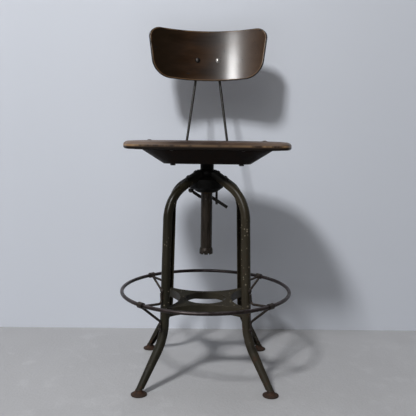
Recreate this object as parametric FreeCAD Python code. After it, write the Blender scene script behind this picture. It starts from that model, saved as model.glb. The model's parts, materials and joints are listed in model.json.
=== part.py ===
"""Drafting chair: pressed-steel four-leg base, latched lift tube, swivel seat and bent plywood back.

Millimetres, +Z up, front towards -Y, origin on the floor under the seat's axis.
"""
import FreeCAD
import Part
import math
import os

V = FreeCAD.Vector
X_AXIS, Y_AXIS, Z_AXIS = V(1, 0, 0), V(0, 1, 0), V(0, 0, 1)

# ---------------------------------------------------------------- driving dimensions
SPARE = 30.0                        # how far a cutting tool runs past what it cuts
FAR = 400.0                         # more than the chair's half width
RUNNING_FIT = 0.05

# Legs: an open channel whose centre line lies in a vertical plane through the chair's axis.
LEG_WIDTH, LEG_DEPTH, LEG_WALL = 24.0, 18.5, 2.5
LEG_BACK_RADIUS = 10.0
LEG_TOE = (257.0, 16.0)             # centre line at the foot: radius, height
LEG_KNEE = (168.8, 144.5)           # corner between the flared foot and the upright
LEG_SHOULDER = (154.5, 540.0)       # corner between the upright and the arm
LEG_KNEE_RADIUS, LEG_SHOULDER_RADIUS = 150.0, 100.0
ARM_SLOPE = 27.5                    # degrees that the arm rises towards the hub
ARM_END = 31.0                      # radius where the arm stops
TOE_SCALE = 0.75                    # the channel tapers to this at the foot
TOE_PLATE = 3.0
TOE_SPARE = 12.0                    # channel drawn below the toe, then cut off level
LEGS = {"rear_right": 45, "rear_left": 135, "front_left": 225, "front_right": 315}

# Rivets: shank radius, grip, head radius, head height
HUB_RIVET = (3.2, 12.0, 6.8, 3.6)
BRACKET_RIVET = (2.4, 7.0, 5.0, 2.4)
STRETCHER_RIVET = (3.0, 8.0, 6.0, 3.0)
SOCKET_RIVET = (2.5, 6.6, 5.0, 2.2)
LEG_RIVET_REACH = 8.0               # depth of the rivet holes from a leg's back
HUB_RIVET_RADII = (44.0, 76.0)
BRACKET_RIVET_HEIGHTS = (281.0, 168.5)
STRETCHER_RIVET_HEIGHT = 216.0

# Hub: a cast bowl with four lugs that fill the arms
HUB_TOP, HUB_BOTTOM = 611.0, 548.0
HUB_OUTSIDE = ((27.0, HUB_BOTTOM), (34.0, 552.0), (48.0, 562.0), (50.0, 574.0), (50.0, 587.0),
               (28.0, 599.5), (25.0, 603.0), (25.0, HUB_TOP))
LUG_START, LUG_END, LUG_PLAY = 24.0, 88.0, 0.1
SLEEVE_WALL, SLEEVE_PROUD = 2.8, 2.0
PIN_BOSS_RADIUS, PIN_BOSS_FOOT, PIN_BOSS_TOP = 7.5, 564.0, 584.0
PIN_HOLE_TOP, SPRING_POCKET_RADIUS = 573.0, 6.2
KEEPER_BOSS_RADIUS, KEEPER_BOSS_TOP = 6.0, 571.0

# Lift tube, its notches and the stop nut at its lower end
TUBE_RADIUS, TUBE_WALL = 16.75, 3.0
TUBE_BOTTOM, TUBE_TOP = 366.0, 606.0
NOTCH_PITCH, NOTCH_COUNT, NOTCH_HEIGHT, NOTCH_DEPTH = 12.7, 11, 7.0, 2.2
STOP_NUT_RADIUS, STOP_NUT_HEIGHT, STOP_NUT_BAND, STOP_NUT_BEVEL = 19.7, 19.0, 12.0, 2.0
STOP_NUT_DROP, STOP_NUT_LIP = 3.0, 1.2
STOP_NUT_SLOTS, SLOT_HALF, SLOT_HEIGHT, SLOT_FLOOR = 8, 2.2, 6.0, 10.0

# Spindle that plugs into the tube's top and carries the seat
SPINDLE_BOTTOM, SPINDLE_TAPER = 560.0, 1.5
SPINDLE_FLANGE, SPINDLE_FLANGE_INSET = 3.0, 0.2
JOURNAL_RADIUS, JOURNAL_TOP = 10.95, 646.4
THREAD_RADIUS, THREAD_TOP, THREAD_BEVEL = 8.0, 660.0, 1.0
TUBE_PIN_RADIUS, TUBE_PIN_HEIGHT, TUBE_PIN_INSET = 2.5, 585.0, 1.0
THRUST_RADIUS, THRUST_TOP = 16.5, 611.5
WASHER_RADIUS, WASHER_THICK = 18.0, 2.0
SPINDLE_NUT_FLATS, SPINDLE_NUT_HEIGHT = 24.0, 9.0

# Release lever: a flat bar on edge behind the tube, on an upright pin under the hub
LEVER_PIN = (-47.0, 19.8)           # X, Y of the pin
LEVER_PIN_RADIUS, LEVER_PIN_TOP = 3.0, 570.5
LEVER_HEAD_RADIUS, LEVER_HEAD_HEIGHT, LEVER_HEAD_GAP = 5.2, 2.5, 0.4
LEVER_THICK, LEVER_HEIGHT = 5.0, 9.0
LEVER_EYE = (547.0, 555.7)          # heights of the eye's two faces
LEVER_EYE_RADIUS = 8.0
LEVER_PATH = ((-47.0, 551.0), (-40.0, 545.5), (-19.0, 531.5), (15.0, 530.5), (62.0, 500.5))
LEVER_BENDS = (5.4, 9.0, 9.0)
SPRING_WIRE, SPRING_COIL, SPRING_TURNS, SPRING_FOOT, SPRING_PITCH = 0.88, 4.6, 3, 557.2, 1.9

# Keeper: the hook under the hub that carries the lever
KEEPER_AT = (30.0, 33.0)            # X, Y of its screw
KEEPER_TOP, KEEPER_LOW, KEEPER_FRONT, KEEPER_REAR = 551.0, 509.7, 15.0, 42.0
KEEPER_SHEET, KEEPER_WIDTH, KEEPER_LIP, KEEPER_TAB = 2.0, 7.0, 5.0, 5.0
KEEPER_SCREW = (2.0, 7.0, 3.6, 2.2)  # shank radius, shank above the sheet, head radius, head height

# Foot ring and the brackets that hold it
RING_RADIUS, RING_ROD, RING_HEIGHT = 250.0, 5.3, 253.0
CLIP_WIDTH, CLIP_THICK = 18.0, 3.2
BRACKET_ROD, BRACKET_SIDE, BRACKET_PAD, BRACKET_PAD_RADIUS = 3.6, 3.0, 3.4, 6.0
BRACKET_HEAD_ROOM = 8.0             # radius kept free round each rivet head
BRACKET_HEEL, BRACKET_NECK, BRACKET_ELBOW = 244.0, 270.0, 192.0
BRACKET_TUCK, BRACKET_DROP = 5.0, 3.0
BRACKET_BENDS = (10.0, 40.0)

# Stretcher: a pressed plate with four concave sides, a turned-down flange and a rimmed hole
STRETCHER_TOP, STRETCHER_SHEET = 227.0, 2.5
STRETCHER_FLANGE, STRETCHER_HOLE, STRETCHER_RIM = 25.0, 61.0, 18.0
STRETCHER_WAIST, STRETCHER_ROOT, STRETCHER_TONGUE, STRETCHER_REACH = 76.0, 150.0, 9.2, 171.3

# Feet
GLIDE_REACH = 258.0
GLIDE_STUD_RADIUS, GLIDE_STUD_FOOT = 3.0, 0.5
GLIDE_HEAD_RADIUS, GLIDE_HEAD_HEIGHT, GLIDE_SOCKET_RADIUS = 7.6, 2.5, 8.0
GLIDE_OUTSIDE = ((21.6, 0.0), (22.4, 1.2), (22.4, 3.2), (19.5, 5.0), (14.5, 7.5), (11.0, 11.0))
GLIDE_NECK = 9.5

# Seat board and the pressed pan under it
SEAT_TOP, SEAT_THICK, SEAT_EDGE_RADIUS = 697.0, 21.0, 8.0
SEAT_FRONT, SEAT_REAR = -150.0, 172.0
SEAT_HALF_WIDTH, SEAT_WIDEST = 240.0, -25.0    # half the width, and the Y where the board has it
SEAT_SIDE_RADIUS, SEAT_SIDE_END = 329.0, 66.0  # each side is bowed as far as this Y
SEAT_FRONT_CORNER, SEAT_REAR_CORNER = 30.0, 120.0
PAN_FLOOR, PAN_SHEET = 634.0, 1.6
PAN_FLOOR_HALF, PAN_FLOOR_CORNER = (125.0, 80.0), 34.0
PAN_MOUTH_HALF, PAN_MOUTH_CORNER = (192.0, 118.0), 74.0
PAN_RIM_HALF, PAN_RIM_CORNER = (214.0, 138.0), 84.0
SEAT_BOLT_AT = (178.0, 100.0)       # carriage bolts through the rear of the board
SEAT_BOLT_RADIUS, SEAT_BOLT_HEAD, SEAT_BOLT_DOME, SEAT_BOLT_TAIL = 3.5, 8.5, 2.6, 9.0
SEAT_NUT_FLATS, SEAT_NUT_HEIGHT = 12.0, 6.0
SEAT_SCREW_AT = (98.0, -128.0)      # screws from below at the front
SEAT_SCREW_RADIUS, SEAT_SCREW_DEPTH = 2.5, 12.0
SEAT_SCREW_HEAD, SEAT_SCREW_DOME = 5.5, 2.6

# Socket and bush that turn on the spindle
SOCKET_RADIUS, SOCKET_BOTTOM, SOCKET_TOP, SOCKET_BEVEL = 19.7, 611.8, 646.0, 1.0
SOCKET_FLANGE_RADIUS, SOCKET_FLANGE_THICK, SOCKET_RIVET_RADIUS = 46.0, 5.0, 34.0
SOCKET_RIVET_COUNT, SOCKET_RIVET_TAIL = 4, 1.6
BUSH_WALL = 2.5

# Back rods
ROD_RADIUS, ROD_BEND_RADIUS = 4.0, 26.0
ROD_TOP = (33.3, 222.0, 928.0)      # centre of the right rod's eye
ROD_SEAT = (69.7, 184.0, 662.0)     # corner where the rod turns in under the seat
ROD_FOOT = (98.0, -50.0, 640.0)     # the bolted lower end
ROD_PAST_FOOT = 8.0                 # the round rod stops this far short of the bolt
ROD_WAY_CLEAR, ROD_WAY_SHARE = 0.8, 0.7
ROD_EYE_RADIUS, ROD_EYE_LENGTH = 7.5, 12.0
ROD_PAD_RADIUS, ROD_PAD_HEIGHT = 11.0, 5.0
ROD_BOLT_RADIUS, ROD_BOLT_FLATS, ROD_BOLT_HEAD, ROD_BOLT_TAIL = 4.0, 13.0, 5.5, 17.0
ROD_NUT_HEIGHT = 6.5

# Back: drawn upright about its pin, then leaned
BACK_TILT = 6.0                     # degrees that the panel leans back
BACK_THICK, BACK_CURVE_RADIUS = 9.0, 360.0
BACK_CENTRE_Z = 962.5
BACK_HALF_WIDTH, BACK_HALF_HEIGHT = 184.0, 79.0
BACK_TOP_RISE, BACK_TOP_CORNER = 3.0, 32.0
BACK_SIDE_FOOT = (175.0, -22.0)     # where the side ends: x, z from the panel's middle
BACK_LOWER_CORNER = (152.5, -62.0)  # half way round the lower corner
BACK_BOTTOM_END = (112.0, -75.5)    # where the lower edge begins
BACK_BOTTOM_BULGE = (60.0, -78.4)   # half way along the lower edge
BACK_PIN_RADIUS, BACK_PIN_BEHIND = 3.0, 14.0
BACK_PIN_HEAD, BACK_PIN_TAIL = (5.0, 2.0), (4.6, 1.5)
BACK_BOLT_HALF, BACK_BOLT_Z = 32.7, 948.0
BACK_BOLT_RADIUS, BACK_BOLT_HEAD, BACK_BOLT_DOME, BACK_BOLT_TAIL = 3.5, 8.0, 2.4, 9.7
BACK_BOLT_SKIRT, BACK_FACE_LIFT = 4.0, 0.8
BACK_WASHER_RADIUS, BACK_WASHER_THICK = 8.0, 1.5
BACK_NUT_FLATS, BACK_NUT_HEIGHT = 12.0, 5.5
BRACKET_SHEET, BACK_PLATE_HALF, BACK_PLATE_BELOW, BACK_PLATE_ABOVE = 2.5, 52.0, 10.0, 16.0
EAR_HALF_GAP, EAR_RADIUS, EAR_ROOT = 6.5, 8.0, 3.0
EAR_INNER_GAP = 9.0


# ---------------------------------------------------------------- small helpers
def vec(radius, height, side=0.0):
    """A point in the plane of a leg that has not been turned to its corner yet."""
    return V(radius, side, height)


def disc(radius, height, base, axis=Z_AXIS):
    return Part.makeCylinder(radius, height, base, axis)


def drill(radius, at, axis=Z_AXIS, reach=SPARE):
    """A cutting cylinder that runs equally far past a point on both sides."""
    return disc(radius, 2 * reach, at - axis * reach, axis)


def box(x0, x1, y0, y1, z0, z1):
    return Part.makeBox(x1 - x0, y1 - y0, z1 - z0, V(x0, y0, z0))


def turned(shape, degrees, centre=V(0, 0, 0), axis=Z_AXIS):
    copy = shape.copy()
    copy.rotate(centre, axis, degrees)
    return copy


def mirrored_x(shape):
    return shape.mirror(V(0, 0, 0), X_AXIS)


def spun(profile, base=V(0, 0, 0)):
    """Turn a closed outline of (radius, height) points about the vertical through base."""
    points = [V(r, 0, z) for r, z in profile]
    face = Part.Face(Part.makePolygon(points + points[:1]))
    solid = face.revolve(V(0, 0, 0), Z_AXIS, 360)
    solid.translate(base)
    return solid


def sleeve(inner, outer, low, high):
    return spun([(inner, low), (outer, low), (outer, high), (inner, high)])


def hexagon(across_flats, height, base, axis=Z_AXIS):
    circum = across_flats / math.sqrt(3)
    corners = [V(circum * math.cos(math.radians(60 * i)), circum * math.sin(math.radians(60 * i)), 0)
               for i in range(7)]
    solid = Part.Face(Part.makePolygon(corners)).extrude(V(0, 0, height))
    solid.Placement = FreeCAD.Placement(base, FreeCAD.Rotation(Z_AXIS, axis))
    return solid


def nut(across_flats, height, bore, base, axis=Z_AXIS):
    return hexagon(across_flats, height, base, axis).cut(drill(bore, base, axis))


def rounded_path(points, radii):
    """Straight runs through the points, joined by tangent arcs of the given radii."""
    edges = []
    start = points[0]
    for corner, before, after, radius in zip(points[1:-1], points[:-2], points[2:], radii):
        to_before = (before - corner).normalize()
        to_after = (after - corner).normalize()
        half = to_before.getAngle(to_after) / 2
        tangent = radius / math.tan(half)
        bisector = (to_before + to_after).normalize()
        first = corner + to_before * tangent
        last = corner + to_after * tangent
        middle = corner + bisector * (radius / math.sin(half) - radius)
        edges.append(Part.LineSegment(start, first).toShape())
        edges.append(Part.Arc(first, middle, last).toShape())
        start = last
    edges.append(Part.LineSegment(start, points[-1]).toShape())
    return Part.Wire(edges)


def swept(section, path):
    return path.makePipeShell([section], True, False)


def round_rod(points, bend_radii, radius):
    path = rounded_path(points, bend_radii)
    circle = Part.Circle(points[0], points[1] - points[0], radius).toShape()
    return swept(Part.Wire([circle]), path)


def rivet(at, outward, shank_radius, grip, head_radius, head_height):
    """A rivet whose shank goes grip deep under the surface point, with a domed head outside."""
    outward = V(outward).normalize()
    shank = disc(shank_radius, grip, at - outward * grip, outward)
    sphere_radius = (head_radius ** 2 + head_height ** 2) / (2 * head_height)
    ball = Part.makeSphere(sphere_radius, at + outward * (head_height - sphere_radius))
    keep = disc(2 * head_radius, 2 * head_height, at, outward)
    return shank.fuse(ball.common(keep)).removeSplitter()


def joined(shapes):
    first = shapes[0]
    return first.fuse(shapes[1:]).removeSplitter() if len(shapes) > 1 else first


def group(shapes):
    return Part.makeCompound(shapes)


def at_corners(shape):
    return [turned(shape, angle) for angle in LEGS.values()]


# ---------------------------------------------------------------- legs
def leg_points():
    rise = math.tan(math.radians(ARM_SLOPE))
    arm_end_z = LEG_SHOULDER[1] + rise * (LEG_SHOULDER[0] - ARM_END)
    return [vec(*LEG_TOE), vec(*LEG_KNEE), vec(*LEG_SHOULDER), vec(ARM_END, arm_end_z)]


def channel_outline(centre, outward, scale=1.0, hollow=True, play=0.0):
    """The leg's section at a point of its centre line: a rounded back and an open inner side."""
    wall = LEG_WALL * scale
    half = LEG_WIDTH / 2 * scale
    back = LEG_DEPTH / 2 * scale
    bend = LEG_BACK_RADIUS * scale

    def place(side, depth):
        return centre + Y_AXIS * side + outward * depth

    def arch(inset):
        wide = half - inset
        high = back - inset
        corner = bend - inset
        middle = corner * (1 - math.sqrt(0.5))
        return [Part.LineSegment(place(-wide, -back), place(-wide, high - corner)),
                Part.Arc(place(-wide, high - corner), place(-wide + middle, high - middle),
                         place(-wide + corner, high)),
                Part.LineSegment(place(-wide + corner, high), place(wide - corner, high)),
                Part.Arc(place(wide - corner, high), place(wide - middle, high - middle),
                         place(wide, high - corner)),
                Part.LineSegment(place(wide, high - corner), place(wide, -back))]

    if hollow:
        feet = [Part.LineSegment(place(side * half, -back), place(side * (half - wall), -back))
                for side in (-1, 1)]
        curves = arch(0.0) + arch(wall) + feet
    else:
        closing = Part.LineSegment(place(-half + play, -back), place(half - play, -back))
        curves = arch(play) + [closing]
    return Part.Wire(Part.__sortEdges__([curve.toShape() for curve in curves]))


def leg():
    points = leg_points()
    path = rounded_path(points, (LEG_KNEE_RADIUS, LEG_SHOULDER_RADIUS))
    edges = path.Edges
    knee_start = edges[0].Vertexes[1].Point
    along = (points[1] - points[0]).normalize()
    outward = V(along.z, 0, -along.x)
    upper = swept(channel_outline(knee_start, outward), Part.Wire(edges[1:]))
    toe = points[0] - along * TOE_SPARE
    lower = Part.makeLoft([channel_outline(toe, outward, TOE_SCALE), channel_outline(knee_start, outward)],
                          True, True)
    filled = Part.makeLoft([channel_outline(toe, outward, TOE_SCALE, False),
                            channel_outline(knee_start, outward, 1.0, False)], True, True)
    plate_top = LEG_TOE[1] + TOE_PLATE
    slab = box(0, FAR, -SPARE, SPARE, LEG_TOE[1], plate_top)
    below = box(0, FAR, -SPARE, SPARE, -SPARE, LEG_TOE[1])
    solid = joined([upper, lower, filled.common(slab)]).cut(below)
    holes = [disc(GLIDE_STUD_RADIUS, plate_top, vec(GLIDE_REACH, 0))]
    holes += [drill(radius, at, outward, LEG_RIVET_REACH) for at, outward, radius in leg_rivets()]
    return solid.cut(holes)


def upright_radius(height):
    """Radius of the leg's centre line at a height on its straight upright."""
    share = (height - LEG_KNEE[1]) / (LEG_SHOULDER[1] - LEG_KNEE[1])
    return LEG_KNEE[0] + share * (LEG_SHOULDER[0] - LEG_KNEE[0])


def knee_top():
    """Height where the upright ends and the knee bend starts."""
    toe, knee, shoulder = leg_points()[:3]
    upward = (shoulder - knee).normalize()
    half = upward.getAngle((toe - knee).normalize()) / 2
    return LEG_KNEE[1] + upward.z * LEG_KNEE_RADIUS / math.tan(half)


def leg_back(height):
    """The leg's outermost point at a height on the upright or on the start of the knee bend."""
    drop = max(0.0, knee_top() - height)
    knee = drop ** 2 / (2 * (LEG_KNEE_RADIUS - LEG_DEPTH / 2))
    return vec(upright_radius(height) + LEG_DEPTH / 2 + knee, height)


def arm_frame(radius):
    """Point on the arm's centre line at a radius, and the direction out of its back."""
    slope = math.radians(ARM_SLOPE)
    height = LEG_SHOULDER[1] + math.tan(slope) * (LEG_SHOULDER[0] - radius)
    return vec(radius, height), V(math.sin(slope), 0, math.cos(slope))


def hub_rivet_places():
    places = []
    for radius in HUB_RIVET_RADII:
        centre, outward = arm_frame(radius)
        places.append((centre + outward * (LEG_DEPTH / 2), outward))
    return places


def bracket_rivet_places():
    return [leg_back(height) for height in BRACKET_RIVET_HEIGHTS]


def leg_rivets():
    rows = [(at, outward, HUB_RIVET[0]) for at, outward in hub_rivet_places()]
    rows += [(at, X_AXIS, BRACKET_RIVET[0]) for at in bracket_rivet_places()]
    rows.append((leg_back(STRETCHER_RIVET_HEIGHT), X_AXIS, STRETCHER_RIVET[0]))
    return rows


# ---------------------------------------------------------------- hub
def hub_casting():
    bore_radius = TUBE_RADIUS + RUNNING_FIT + SLEEVE_WALL
    body = spun([(bore_radius, HUB_BOTTOM)] + list(HUB_OUTSIDE) + [(bore_radius, HUB_TOP)])
    start, outward = arm_frame(LUG_START)
    arm_end, _ = arm_frame(ARM_END)
    end, _ = arm_frame(LUG_END)
    core = Part.Face(channel_outline(start, outward, 1.0, False, LEG_WALL + LUG_PLAY))
    lug = core.extrude(end - start)
    arm_room = Part.Face(channel_outline(arm_end, outward, 1.0, False)).extrude(end - arm_end)
    pin_boss = disc(PIN_BOSS_RADIUS, PIN_BOSS_TOP - PIN_BOSS_FOOT, V(*LEVER_PIN, PIN_BOSS_FOOT))
    keeper_boss = disc(KEEPER_BOSS_RADIUS, KEEPER_BOSS_TOP - KEEPER_TOP, V(*KEEPER_AT, KEEPER_TOP))
    solid = joined([body.cut(at_corners(arm_room))] + at_corners(lug) + [pin_boss, keeper_boss])
    bore = disc(bore_radius, HUB_TOP, V(0, 0, SPARE))
    pocket = disc(SPRING_POCKET_RADIUS, PIN_BOSS_FOOT - HUB_BOTTOM, V(*LEVER_PIN, HUB_BOTTOM))
    pin_hole = disc(LEVER_PIN_RADIUS, PIN_HOLE_TOP - HUB_BOTTOM, V(*LEVER_PIN, HUB_BOTTOM))
    screw_hole = drill(KEEPER_SCREW[0], V(*KEEPER_AT, KEEPER_TOP), Z_AXIS, KEEPER_SCREW[1])
    holes = [bore, pocket, pin_hole, screw_hole]
    for at, outward in hub_rivet_places():
        holes += at_corners(disc(HUB_RIVET[0], HUB_RIVET[1], at - outward * HUB_RIVET[1], outward))
    return solid.cut(holes)


def hub_sleeve():
    inner = TUBE_RADIUS + RUNNING_FIT
    return sleeve(inner, inner + SLEEVE_WALL, HUB_BOTTOM - SLEEVE_PROUD, HUB_TOP)


def hub_rivets():
    heads = []
    for at, outward in hub_rivet_places():
        heads += at_corners(rivet(at, outward, *HUB_RIVET))
    return group(heads)


# ---------------------------------------------------------------- stretcher
def stretcher_outline(inset=0.0):
    """One closed line: four concave sides joined by four tongues that enter the legs."""
    corner = math.radians(45)
    tongue = STRETCHER_TONGUE - inset
    reach = STRETCHER_REACH - inset
    waist = STRETCHER_WAIST - inset
    edges = []
    for quarter in range(4):
        angle = corner + quarter * math.pi / 2
        along = V(math.cos(angle), math.sin(angle), 0)
        across = V(-along.y, along.x, 0)
        side = V(math.cos(angle + corner), math.sin(angle + corner), 0)
        tip_right = along * reach - across * tongue
        tip_left = along * reach + across * tongue
        root_right = along * STRETCHER_ROOT - across * tongue
        root_left = along * STRETCHER_ROOT + across * tongue
        next_root = across * STRETCHER_ROOT + along * tongue
        edges.append(Part.LineSegment(root_right, tip_right).toShape())
        edges.append(Part.LineSegment(tip_right, tip_left).toShape())
        edges.append(Part.LineSegment(tip_left, root_left).toShape())
        edges.append(Part.Arc(root_left, side * waist, next_root).toShape())
    return Part.Wire(edges)


def stretcher_plate():
    bottom = STRETCHER_TOP - STRETCHER_FLANGE
    outer = Part.Face(stretcher_outline()).extrude(V(0, 0, STRETCHER_FLANGE))
    outer.translate(V(0, 0, bottom))
    inner = Part.Face(stretcher_outline(STRETCHER_SHEET))
    inner = inner.extrude(V(0, 0, STRETCHER_FLANGE - STRETCHER_SHEET))
    inner.translate(V(0, 0, bottom))
    rim = disc(STRETCHER_HOLE + STRETCHER_SHEET, STRETCHER_RIM, V(0, 0, STRETCHER_TOP - STRETCHER_RIM))
    hole = drill(STRETCHER_HOLE, V(0, 0, STRETCHER_TOP))
    rivet_way = drill(STRETCHER_RIVET[0], leg_back(STRETCHER_RIVET_HEIGHT), X_AXIS, STRETCHER_RIVET[1])
    plate = outer.cut(inner).fuse(rim).removeSplitter()
    return plate.cut([hole] + at_corners(rivet_way) + at_corners(leg()))


def stretcher_rivets():
    rivets = group(at_corners(rivet(leg_back(STRETCHER_RIVET_HEIGHT), X_AXIS, *STRETCHER_RIVET)))
    return rivets.cut(at_corners(leg()))


# ---------------------------------------------------------------- foot ring
def foot_ring():
    return Part.makeTorus(RING_RADIUS, RING_ROD, V(0, 0, RING_HEIGHT))


def ring_bracket():
    """The band round the ring and its two arms, in the plane of an unturned leg."""
    centre = vec(RING_RADIUS, RING_HEIGHT)
    band = disc(RING_ROD + CLIP_THICK, CLIP_WIDTH, centre - Y_AXIS * (CLIP_WIDTH / 2), Y_AXIS)
    stand = BRACKET_ROD
    upper_rivet, lower_rivet = bracket_rivet_places()
    heel = vec(leg_back(BRACKET_HEEL).x + stand, BRACKET_HEEL, BRACKET_SIDE)
    neck = vec(upper_rivet.x + stand, BRACKET_NECK)
    elbow = vec(leg_back(BRACKET_ELBOW).x + stand, BRACKET_ELBOW)
    upper_start = centre + V(-BRACKET_TUCK, BRACKET_SIDE, -BRACKET_DROP)
    lower_start = centre + V(-BRACKET_DROP, -BRACKET_SIDE, -BRACKET_TUCK)
    upper = round_rod([upper_start, heel, neck, upper_rivet + V(stand, 0, BRACKET_DROP)],
                      BRACKET_BENDS, BRACKET_ROD)
    lower = round_rod([lower_start, elbow, lower_rivet + V(stand, 0, -BRACKET_DROP)],
                      BRACKET_BENDS[:1], BRACKET_ROD)
    rivets = (upper_rivet, lower_rivet)
    pads = [disc(BRACKET_PAD_RADIUS, BRACKET_PAD + BRACKET_ROD, at, X_AXIS) for at in rivets]
    ways = [drill(BRACKET_RIVET[0], at, X_AXIS) for at in rivets]
    tops = [disc(BRACKET_HEAD_ROOM, SPARE, at + X_AXIS * BRACKET_PAD, X_AXIS) for at in rivets]
    solid = joined([band, upper, lower] + pads)
    return solid.cut(ways + tops).cut([foot_ring(), leg()])


def bracket_rivets():
    one = [rivet(at + X_AXIS * BRACKET_PAD, X_AXIS, *BRACKET_RIVET) for at in bracket_rivet_places()]
    return group([turned(shape, angle) for angle in LEGS.values() for shape in one])


# ---------------------------------------------------------------- feet
def foot_glide():
    socket_top = GLIDE_STUD_FOOT + GLIDE_HEAD_HEIGHT
    top = LEG_TOE[1]
    inside = [(GLIDE_STUD_RADIUS, top), (GLIDE_STUD_RADIUS, socket_top), (GLIDE_SOCKET_RADIUS, socket_top),
              (GLIDE_SOCKET_RADIUS, 0.0)]
    return spun(inside + list(GLIDE_OUTSIDE) + [(GLIDE_NECK, top)], vec(GLIDE_REACH, 0))


def glide_studs():
    top = LEG_TOE[1] + TOE_PLATE
    shank = disc(GLIDE_STUD_RADIUS, top - GLIDE_STUD_FOOT, vec(GLIDE_REACH, GLIDE_STUD_FOOT))
    head = disc(GLIDE_HEAD_RADIUS, GLIDE_HEAD_HEIGHT, vec(GLIDE_REACH, GLIDE_STUD_FOOT))
    return group(at_corners(joined([shank, head])))


# ---------------------------------------------------------------- release lever
def release_lever():
    points = [V(x, LEVER_PIN[1], z) for x, z in LEVER_PATH]
    path = rounded_path(points, LEVER_BENDS)
    along = (points[1] - points[0]).normalize()
    across = V(-along.z, 0, along.x)
    half_high, half_thick = across * (LEVER_HEIGHT / 2), Y_AXIS * (LEVER_THICK / 2)
    start = points[0]
    corners = [start + half_high + half_thick, start + half_high - half_thick,
               start - half_high - half_thick, start - half_high + half_thick]
    bar = swept(Part.makePolygon(corners + corners[:1]), path)
    low, high = LEVER_EYE
    eye = disc(LEVER_EYE_RADIUS, high - low, V(*LEVER_PIN, low))
    above = disc(LEVER_EYE_RADIUS + LEVER_THICK, SPARE, V(*LEVER_PIN, high))
    bore = drill(LEVER_PIN_RADIUS + RUNNING_FIT, V(*LEVER_PIN, low))
    head_pocket = disc(LEVER_HEAD_RADIUS + LEVER_HEAD_GAP, SPARE, V(*LEVER_PIN, low - SPARE))
    return joined([bar, eye]).cut([above, bore, head_pocket])


def lever_pin():
    foot = LEVER_EYE[0] - LEVER_HEAD_GAP - LEVER_HEAD_HEIGHT
    shank = disc(LEVER_PIN_RADIUS, LEVER_PIN_TOP - foot, V(*LEVER_PIN, foot))
    head = disc(LEVER_HEAD_RADIUS, LEVER_HEAD_HEIGHT, V(*LEVER_PIN, foot))
    return joined([shank, head])


def lever_spring():
    """Torsion coil round the pin, between the lever's eye and the hub's boss."""
    helix = Part.makeHelix(SPRING_PITCH, SPRING_PITCH * SPRING_TURNS, SPRING_COIL)
    circle = Part.Wire([Part.Circle(V(SPRING_COIL, 0, 0), Y_AXIS, SPRING_WIRE).toShape()])
    solid = Part.Wire(helix.Edges).makePipeShell([circle], True, True)
    solid.translate(V(*LEVER_PIN, SPRING_FOOT))
    return solid


def lever_keeper():
    """A hook under the hub that carries the bar and lets it swing back."""
    x, y = KEEPER_AT
    half = KEEPER_WIDTH / 2
    sheet, low, top = KEEPER_SHEET, KEEPER_LOW, KEEPER_TOP
    tab = box(x - half, x + half, y - KEEPER_TAB, KEEPER_REAR, top - sheet, top)
    back = box(x - half, x + half, KEEPER_REAR - sheet, KEEPER_REAR, low, top)
    floor = box(x - half, x + half, KEEPER_FRONT, KEEPER_REAR, low, low + sheet)
    lip = box(x - half, x + half, KEEPER_FRONT - sheet, KEEPER_FRONT, low, low + KEEPER_LIP)
    return joined([tab, back, floor, lip]).cut(drill(KEEPER_SCREW[0], V(x, y, top), Z_AXIS, KEEPER_LIP))


def keeper_screw():
    radius, length, head_radius, head_height = KEEPER_SCREW
    under = KEEPER_TOP - KEEPER_SHEET
    head = disc(head_radius, head_height, V(*KEEPER_AT, under - head_height))
    shank = disc(radius, length + KEEPER_SHEET, V(*KEEPER_AT, under))
    return joined([head, shank])


# ---------------------------------------------------------------- lift tube
def tube_pin_way():
    return drill(TUBE_PIN_RADIUS, V(0, 0, TUBE_PIN_HEIGHT), Y_AXIS)


def lift_tube():
    tube = sleeve(TUBE_RADIUS - TUBE_WALL, TUBE_RADIUS, TUBE_BOTTOM, TUBE_TOP)
    latch = LEVER_PATH[2][1]
    notch_floor = TUBE_RADIUS - NOTCH_DEPTH
    cuts = [tube_pin_way()]
    for step in range(1, NOTCH_COUNT + 1):
        height = latch - step * NOTCH_PITCH
        cuts.append(box(-TUBE_RADIUS, TUBE_RADIUS, notch_floor, TUBE_RADIUS + NOTCH_DEPTH,
                        height - NOTCH_HEIGHT / 2, height + NOTCH_HEIGHT / 2))
    return tube.cut(cuts)


def stop_nut():
    low = TUBE_BOTTOM - STOP_NUT_DROP
    top = low + STOP_NUT_HEIGHT
    ring = spun([(TUBE_RADIUS, low), (STOP_NUT_RADIUS - STOP_NUT_BEVEL / 2, low),
                 (STOP_NUT_RADIUS, low + STOP_NUT_BEVEL), (STOP_NUT_RADIUS, low + STOP_NUT_BAND),
                 (TUBE_RADIUS + STOP_NUT_LIP, top), (TUBE_RADIUS, top)])
    slots = []
    for index in range(STOP_NUT_SLOTS):
        slot = box(SLOT_FLOOR, SPARE, -SLOT_HALF, SLOT_HALF, low - SLOT_HALF, low + SLOT_HEIGHT)
        slots.append(turned(slot, 360 * (index + 0.5) / STOP_NUT_SLOTS))
    return ring.cut(slots)


def spindle():
    plug = TUBE_RADIUS - TUBE_WALL
    bottom = SPINDLE_BOTTOM
    flange_radius = TUBE_RADIUS - SPINDLE_FLANGE_INSET
    flange_top = TUBE_TOP + SPINDLE_FLANGE
    shape = spun([(0, bottom), (plug - SPINDLE_TAPER, bottom), (plug, bottom + SPINDLE_TAPER),
                  (plug, TUBE_TOP), (flange_radius, TUBE_TOP), (flange_radius, flange_top),
                  (JOURNAL_RADIUS, flange_top), (JOURNAL_RADIUS, JOURNAL_TOP), (THREAD_RADIUS, JOURNAL_TOP),
                  (THREAD_RADIUS, THREAD_TOP - THREAD_BEVEL), (THREAD_RADIUS - THREAD_BEVEL, THREAD_TOP),
                  (0, THREAD_TOP)])
    return shape.cut(tube_pin_way())


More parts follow.
